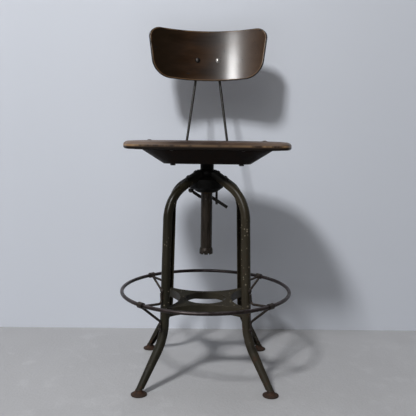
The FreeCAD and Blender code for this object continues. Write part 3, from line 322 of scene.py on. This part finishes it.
def bolt_marks(s, tone, colour):
    """The back's right bolt is made light and its left one dark, and those under the seat are made dark."""
    at_back = s.span(s.height(), BACK_BOLTS_ABOVE, BACK_BOLTS_ABOVE + 0.02)
    left_bolt_darker = s.times(at_back, s.fade(s.side(), -0.02, 0.02))
    under_seat = s.times(s.span(s.height(), UNDERSIDE_ABOVE, UNDERSIDE_ABOVE + 0.02),
                         s.fade(s.height(), SEAT_FACE - 0.004, SEAT_FACE))
    colour = s.mix(s.times(s.most(left_bolt_darker, under_seat), 0.92), colour, (0.008, 0.006, 0.005))
    silver = s.mix(s.span(tone, 0.35, 0.65), (0.22, 0.21, 0.20), (0.46, 0.45, 0.43))
    return s.mix(s.times(at_back, s.span(s.side(), -0.02, 0.02)), colour, silver)


def worn_steel(name, dark, light, rust_colour, rust_from, roughness, metallic, polish=None, marks=None):
    """Browned steel: mottled tone and rust, upper faces rubbed to polish's colour, then any marks."""
    s = Shader(name, metallic=metallic)
    tone = s.noise(60.0, (1, 1, 1), 6.0, 0.6)
    colour = s.mix(s.span(tone, 0.34, 0.68), dark, light)
    rust = s.span(s.noise(110.0, (1, 1, 1), 8.0, 0.7), rust_from, rust_from + 0.10)
    colour = s.mix(rust, colour, rust_colour)
    if polish:
        rubbed = s.times(s.span(s.up(), 0.15, 0.95), s.span(s.noise(38.0), 0.34, 0.62))
        colour = s.mix(s.times(rubbed, 0.7), colour, polish)
    wear = s.times(s.edge_wear(0.0008), s.span(s.noise(90.0), 0.40, 0.60))
    colour = s.mix(s.times(wear, 0.8), colour, scaled(light, 2.6))
    specks = s.specks(260.0, 0.08, 0.35)
    colour = s.mix(s.times(specks, 0.6), colour, (0.20, 0.17, 0.14))
    if marks:
        colour = marks(s, tone, colour)
    s.put("Base Color", colour)
    mottled = s.span(tone, 0.3, 0.7, roughness, roughness + 0.14)
    s.put("Roughness", s.math("ADD", mottled, s.times(rust, 0.25)))
    s.put("Specular IOR Level", 0.35)
    s.bump(s.math("ADD", s.times(s.noise(500.0), 0.5), s.times(rust, 0.5)), 0.00018, 0.0006)
    return s.material


def glide_iron():
    """Rusty cast iron, darker with grime where it meets the floor."""
    s = Shader("glide_iron")
    tone = s.noise(120.0, (1, 1, 1), 8.0, 0.7)
    colour = s.ramp(tone, [(0.30, (0.012, 0.0062, 0.0036)), (0.48, (0.034, 0.0155, 0.0080)),
                           (0.62, (0.068, 0.0315, 0.0160)), (0.78, (0.112, 0.059, 0.0315))])
    grime = s.fade(s.height(), 0.001, 0.010, 0.55)
    s.put("Base Color", s.mix(grime, colour, (0.030, 0.024, 0.019)))
    s.put("Roughness", s.span(tone, 0.3, 0.7, 0.62, 0.92))
    s.put("Specular IOR Level", 0.25)
    s.bump(s.noise(600.0, (1, 1, 1), 6.0, 0.7), 0.0005, 0.0007)
    return s.material


def cast_iron(name, dark, light, roughness, shine):
    """Dark rough metal with a little dust on its upper faces; shine is its specular level."""
    s = Shader(name)
    tone = s.noise(48.0, (1, 1, 1), 6.0, 0.6)
    colour = s.mix(s.span(tone, 0.35, 0.7), dark, light)
    dust = s.times(s.span(s.up(), 0.3, 0.95), s.span(s.noise(80.0), 0.45, 0.65))
    s.put("Base Color", s.mix(s.times(dust, 0.30), colour, (0.040, 0.033, 0.025)))
    s.put("Specular IOR Level", shine)
    s.put("Roughness", s.span(tone, 0.3, 0.7, roughness, roughness + 0.2))
    s.bump(s.noise(380.0, (1, 1, 1), 6.0, 0.65), 0.0004, 0.0009)
    return s.material


def tube_steel():
    """Brown oxidised tube with a greasy film, drag marks along it and pale spots down its front."""
    s = Shader("tube_steel", metallic=0.35)
    tone = s.noise(40.0, (1.6, 1.6, 0.35), 6.0, 0.6)
    colour = s.ramp(tone, [(0.30, (0.009, 0.0062, 0.0042)), (0.52, (0.020, 0.0145, 0.0100)),
                           (0.74, (0.038, 0.0280, 0.0205))])
    drags = s.times(s.hairlines(70.0, (2.0, 2.0, 0.06), 0.02), 0.4)
    colour = s.mix(drags, colour, (0.110, 0.095, 0.082))
    upper = s.span(s.height(), 0.44, 0.50)
    middle = s.fade(s.math("ABSOLUTE", s.math("SUBTRACT", s.side(), 0.001)), 0.002, 0.006)
    pale = s.times(s.specks(95.0, 0.45, 0.50), upper, middle)
    colour = s.mix(s.times(pale, 0.8), colour, (0.120, 0.110, 0.100))
    s.put("Base Color", colour)
    s.put("Specular IOR Level", 0.24)
    s.put("Roughness", s.span(tone, 0.3, 0.7, 0.33, 0.52))
    s.bump(s.noise(320.0, (1, 1, 0.3), 6.0, 0.6), 0.0002, 0.0006)
    return s.material


def plain_metal(name, colour, spread, roughness, metallic):
    """Small hidden hardware: a tone with turning marks and light grime."""
    s = Shader(name, metallic=metallic)
    tone = s.noise(140.0, (1, 1, 1), 6.0, 0.65)
    dark, light = scaled(colour, 1 - spread), scaled(colour, 1 + spread)
    grime = s.span(s.noise(70.0, (1, 1, 1), 6.0), 0.50, 0.70)
    mixed = s.mix(s.span(tone, 0.35, 0.65), dark, light)
    s.put("Base Color", s.mix(s.times(grime, 0.7), mixed, scaled(colour, 0.3)))
    s.put("Roughness", s.span(tone, 0.3, 0.7, roughness, roughness + 0.18))
    s.bump(s.noise(700.0, (1, 1, 3.0)), 0.00012, 0.0005)
    return s.material


def grain_field(s, scale, along=(0.10, 1.0, 1.0)):
    """Sliced-veneer figure that runs along X: wandering bands under fine pores."""
    bands = s.noise(scale, along, 6.0, 0.58, 0.9)
    pores = s.noise(scale * 9.0, (along[0] * 0.35, along[1], along[2]), 3.0, 0.6)
    return bands, pores


def back_wood():
    """Dark lacquered veneer, warmer to the right with painted sheen there, with a thin tan line just inside its
    dark edge.
    """
    s = Shader("back_wood")
    bands, pores = grain_field(s, 44.0, (0.06, 1.0, 1.0))
    veneer = s.ramp(bands, [(0.30, (0.0100, 0.0040, 0.0010)), (0.50, (0.0170, 0.0070, 0.0020)),
                            (0.66, (0.0240, 0.0105, 0.0034)), (0.80, (0.0350, 0.0160, 0.0058))])
    # warmer veneer and painted sheen: the right side is made lighter, where the glow beside the highlight falls
    veneer = s.mix(s.span(s.side(), 0.02, 0.15, 0.0, 0.80), veneer, (0.0760, 0.0370, 0.0160))
    cloud = s.span(s.noise(7.0, (1.0, 1, 1), 4.0), 0.35, 0.65)
    veneer = s.mix(s.times(cloud, 0.5), veneer, (0.0170, 0.0068, 0.0022))
    middle = s.fade(s.math("ABSOLUTE", s.math("ADD", s.side(), 0.02)), 0.02, 0.10)
    flame = s.times(middle, s.span(s.noise(15.0, (0.35, 1, 1), 5.0), 0.40, 0.62), 0.6)
    veneer = s.mix(flame, veneer, (0.0460, 0.0185, 0.0040))
    veneer = s.mix(s.fade(s.side(), -0.15, -0.05, 0.55), veneer, (0.0085, 0.0052, 0.0016))
    veneer = s.mix(s.span(pores, 0.55, 0.72, 0.0, 0.50), veneer, (0.0090, 0.0038, 0.0016))
    rim, ply = s.painted("rim"), s.painted("ply")
    layers = s.math("FRACT", s.math("MULTIPLY", ply, BACK_PLIES))
    laminate = s.mix(s.span(layers, 0.40, 0.60), (0.0200, 0.0100, 0.0050), (0.0080, 0.0042, 0.0024))
    inside = s.most(s.fade(ply, 0.10, 0.24), s.span(ply, 0.90, 0.98))
    colour = s.mix(inside, laminate, veneer)
    front = s.fade(ply, 0.10, 0.26)
    colour = s.mix(s.fade(rim, 0.0010, 0.0020, 0.9), colour, (0.0070, 0.0040, 0.0025))
    band = s.times(front, s.fade(rim, 0.0034, 0.0048), s.span(rim, 0.0012, 0.0020))
    rubbed = s.times(band, s.span(s.noise(30.0, (0.6, 1, 1)), 0.26, 0.56))
    colour = s.mix(s.times(rubbed, 0.85), colour, (0.165, 0.095, 0.045))
    dents = s.specks(30.0, 0.30, 0.17, (0.6, 1.0, 1.6))
    scratches = s.times(s.hairlines(13.0, (0.5, 1, 1.6), 0.0022), s.span(s.noise(16.0), 0.50, 0.60))
    marks = s.most(dents, scratches)
    colour = s.mix(s.times(marks, 0.7), colour, (0.006, 0.003, 0.002))
    s.put("Base Color", colour)
    s.put("Specular IOR Level", 0.18)
    spoiled = s.times(s.most(marks, rubbed), 0.25)
    s.put("Roughness", s.math("ADD", s.span(bands, 0.3, 0.7, 0.32, 0.42), spoiled))
    s.put("Coat Weight", 0.40)
    s.put("Coat Roughness", 0.19)
    relief = s.math("SUBTRACT", s.times(pores, 0.5), s.times(marks, 0.9))
    streaks = s.noise(70.0, (0.05, 1.0, 1.0), 4.0, 0.6)
    s.bump(s.math("ADD", relief, s.times(streaks, 0.9)), 0.00016)
    return s.material


def seat_wood():
    """Plywood with its lacquer rubbed away: grey-brown veneer, stains, a pale worn line round the edge."""
    s = Shader("seat_wood")
    bands, pores = grain_field(s, 26.0)
    veneer = s.ramp(bands, [(0.28, (0.018, 0.0085, 0.0045)), (0.45, (0.036, 0.0185, 0.0102)),
                            (0.60, (0.060, 0.0325, 0.0185)), (0.78, (0.100, 0.060, 0.037))])
    veneer = s.mix(s.span(pores, 0.52, 0.70, 0.0, 0.70), veneer, (0.022, 0.013, 0.009))
    patches = s.span(s.noise(5.5, (0.7, 1, 1), 5.0, 0.6), 0.46, 0.64)
    ends = s.span(s.math("ABSOLUTE", s.side()), 0.05, 0.20)
    veneer = s.mix(s.times(s.most(s.times(patches, 0.7), ends), 0.60), veneer, (0.205, 0.150, 0.118))
    veneer = s.mix(s.fade(s.side(), -0.20, -0.08, 0.40), veneer, (0.260, 0.190, 0.150))
    stains = s.span(s.noise(9.0, (1, 1, 1), 6.0, 0.6, 0.6), 0.60, 0.68)
    veneer = s.mix(s.times(stains, 0.60), veneer, (0.020, 0.013, 0.010))
    ply = s.painted("ply")
    layers = s.math("FRACT", s.math("MULTIPLY", ply, SEAT_PLIES))
    laminate = s.mix(s.span(layers, 0.35, 0.60), (0.060, 0.036, 0.022), (0.020, 0.012, 0.008))
    # the lower part of the edge and the underside are made darker
    laminate = s.mix(s.span(ply, 0.64, 0.76), laminate, (0.014, 0.009, 0.006))
    colour = s.mix(s.span(ply, 0.36, 0.46), veneer, laminate)
    line = s.times(s.span(ply, 0.34, 0.42), s.fade(ply, 0.56, 0.66))
    broken = s.span(s.noise(16.0, (1.4, 1, 0.4), 5.0), 0.36, 0.56)
    worn = s.times(line, s.math("ADD", s.times(ends, 0.65), 0.35), broken)
    colour = s.mix(worn, colour, (0.300, 0.190, 0.100))
    s.put("Base Color", colour)
    s.put("Specular IOR Level", 0.14)
    s.put("Roughness", s.math("ADD", s.span(bands, 0.3, 0.7, 0.38, 0.52), s.times(patches, 0.14)))
    s.bump(s.math("SUBTRACT", s.times(pores, 0.6), s.times(stains, 0.2)), 0.00022)
    return s.material


def make_materials():
    brown = (0.030, 0.015, 0.009)
    return {
        "leg_enamel": leg_enamel(),
        "bracket_steel": worn_steel("bracket_steel", (0.013, 0.010, 0.008), (0.030, 0.022, 0.017),
                                    (0.045, 0.022, 0.014), 0.56, 0.42, 0.3, (0.070, 0.054, 0.045)),
        "glide_iron": glide_iron(),
        "hub_iron": cast_iron("hub_iron", (0.0012, 0.0011, 0.0009), (0.0032, 0.0028, 0.0022),
                              0.50, 0.10),
        "bronze": plain_metal("bronze", (0.120, 0.076, 0.036), 0.30, 0.42, 1.0),
        "ring_steel": worn_steel("ring_steel", (0.013, 0.0085, 0.0075), (0.033, 0.023, 0.022),
                                 (0.030, 0.015, 0.011), 0.60, 0.30, 0.45, (0.095, 0.080, 0.084)),
        "lever_steel": worn_steel("lever_steel", (0.007, 0.006, 0.0055), (0.018, 0.016, 0.014),
                                  brown, 0.60, 0.36, 0.3),
        "spring_steel": plain_metal("spring_steel", (0.16, 0.15, 0.14), 0.3, 0.35, 1.0),
        "hardware": worn_steel("hardware", (0.040, 0.035, 0.030), (0.120, 0.108, 0.096),
                               (0.060, 0.030, 0.018), 0.58, 0.30, 0.6, marks=bolt_marks),
        "tube_steel": tube_steel(),
        "bright_steel": plain_metal("bright_steel", (0.38, 0.37, 0.35), 0.2, 0.28, 1.0),
        "rod_steel": worn_steel("rod_steel", (0.010, 0.0092, 0.0082), (0.026, 0.0240, 0.0215),
                                brown, 0.62, 0.36, 0.2),
        "pan_enamel": cast_iron("pan_enamel", (0.0046, 0.0019, 0.0009), (0.0104, 0.0048, 0.0025),
                                0.46, 0.12),
        "seat_wood": seat_wood(),
        "back_wood": back_wood(),
    }


# ---------------------------------------------------------------- plywood pieces
OUTLINE_STEP = 6 * MM               # spacing of points along an outline
INNER_RINGS = 26                    # loops of points between a face's edge and its middle
FAR_FROM_EDGE = 0.1                 # what the "rim" attribute reaches at a face's middle
CORNER_STEPS = 6                    # steps round a rounded edge
FACE_STEPS = (2 * MM, 4 * MM, 7 * MM)   # how far the first loops are in from a rounded edge
SAME_POINT = MM / 100               # points nearer than this are one

SEAT_SIDE_RADIUS, SEAT_WIDEST, SEAT_SIDE_END = 329 * MM, -25 * MM, 66 * MM
SEAT_FRONT_CORNER, SEAT_REAR_CORNER = 30 * MM, 120 * MM
SEAT_UPPER_ROLL, SEAT_LOWER_ROLL = (15 * MM, 10 * MM), (6 * MM, 6 * MM)     # across and through the edge
SEAT_DISH, SEAT_DISH_REACH = 4 * MM, (185 * MM, 120 * MM)

BACK_HALF_WIDTH, BACK_HALF_HEIGHT = 184 * MM, 79 * MM
BACK_TOP_RISE, BACK_TOP_CORNER = 3 * MM, 32 * MM
BACK_SIDE_FOOT = (175 * MM, -22 * MM)           # these four are (u, v) from the panel's middle
BACK_LOWER_CORNER = (152.5 * MM, -62 * MM)
BACK_BOTTOM_END = (112 * MM, -75.5 * MM)
BACK_BOTTOM_BULGE = (60 * MM, -78.4 * MM)
BACK_THICK, BACK_ROLL = 9 * MM, (2.6 * MM, 2.6 * MM)
BACK_CURVE, BACK_LEAN = 360 * MM, math.radians(-6.0)        # the front face's bend, and its lean
BACK_MIDDLE_Z, BRACKET_SHEET, BACK_PIN_BEHIND = 962.5 * MM, 2.5 * MM, 14 * MM


def arc_through(a, b, c):
    """Points from a to c, both included, on the circle through three (u, v) points."""
    (ax, ay), (bx, by), (cx, cy) = a, b, c
    d = 2 * (ax * (by - cy) + bx * (cy - ay) + cx * (ay - by))
    a2, b2, c2 = ax**2 + ay**2, bx**2 + by**2, cx**2 + cy**2
    ux = (a2 * (by - cy) + b2 * (cy - ay) + c2 * (ay - by)) / d
    uy = (a2 * (cx - bx) + b2 * (ax - cx) + c2 * (bx - ax)) / d
    radius = math.hypot(ax - ux, ay - uy)
    start = math.atan2(ay - uy, ax - ux)
    turn = math.atan2(cy - uy, cx - ux) - start
    turn = (turn + math.pi) % (2 * math.pi) - math.pi
    count = max(2, round(abs(turn) * radius / OUTLINE_STEP))
    turns = [start + turn * i / count for i in range(count + 1)]
    return [(ux + radius * math.cos(t), uy + radius * math.sin(t)) for t in turns]


def straight(a, b):
    """Points from a to b, both included."""
    count = max(1, round(math.dist(a, b) / OUTLINE_STEP))
    shares = [i / count for i in range(count + 1)]
    return [(a[0] + (b[0] - a[0]) * share, a[1] + (b[1] - a[1]) * share) for share in shares]


def closed(stretches):
    """One loop of points from stretches that follow each other."""
    points = []
    for stretch in stretches:
        for point in stretch:
            if not points or math.dist(point, points[-1]) > SAME_POINT:
                points.append(point)
    if math.dist(points[0], points[-1]) < SAME_POINT:
        points.pop()
    return points


def arc(centre, radius, start, end):
    """Points on a circle from one angle to another, both included."""
    count = max(2, round(abs(end - start) * radius / OUTLINE_STEP))
    turns = [start + (end - start) * i / count for i in range(count + 1)]
    return [(centre[0] + radius * math.cos(t), centre[1] + radius * math.sin(t)) for t in turns]


def seat_outline():
    """A straight front, bowed sides and a rounded rear, in arcs that run on into each other."""
    low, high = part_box("seat_board")
    side = (high.x - SEAT_SIDE_RADIUS, SEAT_WIDEST)
    front_y = low.y + SEAT_FRONT_CORNER
    reach = SEAT_SIDE_RADIUS - SEAT_FRONT_CORNER
    front = (side[0] + math.sqrt(reach**2 - (front_y - side[1]) ** 2), front_y)
    front_turn = math.atan2(front[1] - side[1], front[0] - side[0])
    rear_turn = math.asin((SEAT_SIDE_END - SEAT_WIDEST) / SEAT_SIDE_RADIUS)
    reach = SEAT_SIDE_RADIUS - SEAT_REAR_CORNER
    rear = (side[0] + reach * math.cos(rear_turn), side[1] + reach * math.sin(rear_turn))
    drop = high.y - rear[1]
    rear_radius = (rear[0] ** 2 + drop**2 - SEAT_REAR_CORNER**2) / (2 * (drop - SEAT_REAR_CORNER))
    across = (0.0, high.y - rear_radius)
    across_turn = math.atan2(rear[1] - across[1], rear[0])
    right = [
        straight((0.0, low.y), (front[0], low.y)),
        arc(front, SEAT_FRONT_CORNER, -math.pi / 2, front_turn),
        arc(side, SEAT_SIDE_RADIUS, front_turn, rear_turn),
        arc(rear, SEAT_REAR_CORNER, rear_turn, across_turn),
        arc(across, rear_radius, across_turn, math.pi / 2),
    ]
    left = [[(-x, y) for x, y in reversed(stretch)] for stretch in reversed(right)]
    return closed(right + left)


def back_outline():
    """Half of the panel's outline about its middle, then its mirror image."""
    edge_top = BACK_HALF_HEIGHT + BACK_TOP_RISE
    corner_x, corner_z = BACK_HALF_WIDTH - BACK_TOP_CORNER, edge_top - BACK_TOP_CORNER
    diagonal = BACK_TOP_CORNER * math.sqrt(0.5)
    side_top = (BACK_HALF_WIDTH, corner_z)
    top_middle = (corner_x / 2, BACK_HALF_HEIGHT + BACK_TOP_RISE / 4)
    right = [
        arc_through((0, BACK_HALF_HEIGHT), top_middle, (corner_x, edge_top)),
        arc_through((corner_x, edge_top), (corner_x + diagonal, corner_z + diagonal), side_top),
        straight(side_top, BACK_SIDE_FOOT),
        arc_through(BACK_SIDE_FOOT, BACK_LOWER_CORNER, BACK_BOTTOM_END),
        arc_through(BACK_BOTTOM_END, BACK_BOTTOM_BULGE, (0, -BACK_HALF_HEIGHT)),
    ]
    left = [[(-x, z) for x, z in reversed(stretch)] for stretch in reversed(right)]
    return closed(right + left)


def inward(outline):
    """Unit vectors into the outline at each of its points."""
    count = len(outline)
    area = sum(a[0] * b[1] - b[0] * a[1] for a, b in zip(outline[-1:] + outline, outline))
    turn = 1 if area > 0 else -1
    normals = []
    for i in range(count):
        before, after = outline[i - 1], outline[(i + 1) % count]
        along = Vector((after[0] - before[0], after[1] - before[1])).normalized()
        normals.append(Vector((-along.y, along.x)) * turn)
    return normals


def quarter(across, through, outward):
    """A quarter ellipse of (inset, depth) points, from the face to the rim or from the rim to the face."""
    turns = [math.radians(90) * i / CORNER_STEPS for i in range(CORNER_STEPS + 1)]
    curve = [(across * (1 - math.sin(t)), through * (1 - math.cos(t))) for t in turns]
    return curve if outward else [(inset, -depth) for inset, depth in reversed(curve)]


def plywood(name, outline, thick, rolls, lift, place):
    """A board whose outline is in (u, v). Depth runs from its upper or front face. rolls says how far its
    two rounded edges go across and through, lift adds depth by (u, v), and place gives the 3-D point."""
    normals = inward(outline)
    (top_across, top_through), (low_across, low_through) = rolls
    profile = quarter(top_across, top_through, True)
    profile += [(inset, thick + depth) for inset, depth in quarter(low_across, low_through, False)]
    loops, rim, ply = [], [], []

    def add_loop(inset, scale, depth):
        loop = []
        for (u, v), normal in zip(outline, normals):
            pu, pv = (u + normal.x * inset) * scale, (v + normal.y * inset) * scale
            loop.append(place(pu, pv, depth + lift(pu, pv, depth / thick)))
            rim.append(inset + (1 - scale) * FAR_FROM_EDGE)
            ply.append(depth / thick)
        loops.append(loop)

    scales = [1 - i / INNER_RINGS for i in range(1, INNER_RINGS)]
    for scale in reversed(scales):
        add_loop(top_across + FACE_STEPS[-1], scale, 0.0)
    for step in reversed(FACE_STEPS):
        add_loop(top_across + step, 1.0, 0.0)
    for inset, depth in profile:
        add_loop(inset, 1.0, depth)
    for step in FACE_STEPS:
        add_loop(low_across + step, 1.0, thick)
    for scale in scales:
        add_loop(low_across + FACE_STEPS[-1], scale, thick)
    count = len(outline)
    points = [point for loop in loops for point in loop]
    faces = []
    for row in range(len(loops) - 1):
        near, far = row * count, (row + 1) * count
        for i in range(count):
            j = (i + 1) % count
            faces.append((near + i, near + j, far + j, far + i))
    for row, depth in ((0, 0.0), (len(loops) - 1, thick)):
        middle = len(points)
        points.append(place(0.0, 0.0, depth + lift(0.0, 0.0, depth / thick)))
        rim.append(FAR_FROM_EDGE)
        ply.append(depth / thick)
        for i in range(count):
            j = (i + 1) % count
            a, b = row * count + i, row * count + j
            faces.append((middle, b, a) if row == 0 else (middle, a, b))
    board = mesh_object(name, points, faces)
    for label, values in (("rim", rim), ("ply", ply)):
        board.data.attributes.new(label, "FLOAT", "POINT").data.foreach_set("value", values)
    board.data.shade_smooth()
    return board


def make_seat():
    """The seat board, dished a little in its middle."""
    low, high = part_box("seat_board")
    thick = high.z - low.z
    reach_x, reach_y = SEAT_DISH_REACH

    def lift(u, v, through):
        inside = max(0.0, 1 - (u / reach_x) ** 2) * max(0.0, 1 - (v / reach_y) ** 2)
        return SEAT_DISH * inside * (1 - through)

    def place(u, v, depth):
        return Vector((u, v, high.z - depth))

    rolls = (SEAT_UPPER_ROLL, SEAT_LOWER_ROLL)
    board = plywood("seat_plywood", seat_outline(), thick, rolls, lift, place)
    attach(board, "seat")
    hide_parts("seat_board")
    return board


def make_back():
    """The backrest, bent round an upright cylinder and leaning back about its pin."""
    pin = Vector(next(j for j in frame["joints"] if j["name"] == "back_tilt")["pos_m"])
    lean = Matrix.Rotation(BACK_LEAN, 4, "X")
    axis_y = -BRACKET_SHEET - BACK_THICK - BACK_CURVE - BACK_PIN_BEHIND

    def place(u, v, depth):
        angle = math.asin(u / (BACK_CURVE + BACK_THICK / 2))
        reach = BACK_CURVE + depth
        across, rearward = reach * math.sin(angle), axis_y + reach * math.cos(angle)
        return pin + lean @ Vector((across, rearward, BACK_MIDDLE_Z - pin.z + v))

    def flat(u, v, through):
        return 0.0

    panel = plywood("back_plywood", back_outline(), BACK_THICK, (BACK_ROLL, BACK_ROLL), flat, place)
    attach(panel, "back")
    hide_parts("backrest_panel")
    return panel


# ---------------------------------------------------------------- floor and wall
def one_sided(s):
    """Makes a face show from its front only, so that the chair can be seen through the back of the set."""
    clear = s.nodes.new("ShaderNodeBsdfTransparent")
    sides = s.nodes.new("ShaderNodeNewGeometry")
    choose = s.nodes.new("ShaderNodeMixShader")
    s.feed(choose.inputs["Fac"], sides.outputs["Backfacing"])
    s.feed(choose.inputs[1], s.surface.outputs["BSDF"])
    s.feed(choose.inputs[2], clear.outputs["BSDF"])
    s.feed(s.nodes["Material Output"].inputs["Surface"], choose.outputs["Shader"])


def make_stage():
    """A mottled concrete floor with painted shade to its left, and a plain wall with painted light: a little
    brighter in its middle, darker to its right.
    """
    far = FLOOR_HALF
    corners = [(-far, -far, 0), (far, -far, 0), (far, far, 0), (-far, far, 0)]
    floor = mesh_object("floor", corners, [(0, 1, 2, 3)])
    s = Shader("floor", 0.6)
    tone = s.noise(3.0, (1, 1, 1), 6.0, 0.6)
    plain = s.mix(s.span(tone, 0.35, 0.65), scaled(FLOOR_COLOUR, 0.96), scaled(FLOOR_COLOUR, 0.89))
    # painted shade: the floor is made darker to the left
    plain = s.mix(s.fade(s.side(), -0.75, -0.05, 0.5), plain, scaled(FLOOR_COLOUR, 0.80))
    blotches = s.span(s.noise(11.0, (1, 1, 1), 7.0, 0.62, 0.4), 0.54, 0.66)
    plain = s.mix(s.times(blotches, 0.5), plain, scaled(FLOOR_COLOUR, 1.06))
    grit = s.span(s.noise(90.0, (1, 1, 1), 6.0, 0.7), 0.35, 0.65)
    s.put("Base Color", s.mix(s.times(grit, 0.35), plain, scaled(FLOOR_COLOUR, 0.90)))
    s.bump(grit, 0.0004)
    one_sided(s)
    floor.data.materials.append(s.material)
    half, top = WALL_HALF, WALL_HEIGHT
    back, front = WALL_Y, WALL_Y - WALL_LEAN * WALL_HEIGHT
    corners = [(-half, back, 0), (half, back, 0), (half, front, top), (-half, front, top)]
    wall = mesh_object("wall", corners, [(0, 1, 2, 3)])
    s = Shader("wall", 0.9)
    # painted light: the wall is made brightest just left of its middle and darker to the right, in place of the
    # lamp's fall-off
    left = s.mix(s.span(s.side(), -0.65, -0.20), scaled(WALL_COLOUR, 1.08), scaled(WALL_COLOUR, 1.13))
    s.put("Base Color", s.mix(s.span(s.side(), -0.05, 0.65), left, scaled(WALL_COLOUR, 1.025)))
    s.put("Specular IOR Level", 0.15)
    one_sided(s)
    wall.data.materials.append(s.material)


def dress_cad(materials):
    """Gives each CAD node the finish that the record names for it."""
    for part in frame["record"]["subparts"]:
        node = frame["nodes"][part["node"]]
        for slot in node.material_slots:
            slot.link = "OBJECT"
            slot.material = materials[part["material_slot"]]


make_camera()
make_world()
area_light("key", KEY_AT, KEY_AIM, KEY_SIZE, KEY_POWER, KEY_COLOUR)
area_light("fill", FILL_AT, FILL_AIM, FILL_SIZE, FILL_POWER, FILL_COLOUR).visible_glossy = False
area_light("strip", STRIP_AT, STRIP_AIM, STRIP_SIZE, STRIP_POWER, (1.0, 1.0, 1.0)).visible_diffuse = False
bpy.context.scene.view_settings.view_transform = "Standard"
make_stage()
finishes = make_materials()
dress_cad(finishes)
make_seat().data.materials.append(finishes["seat_wood"])
make_back().data.materials.append(finishes["back_wood"])
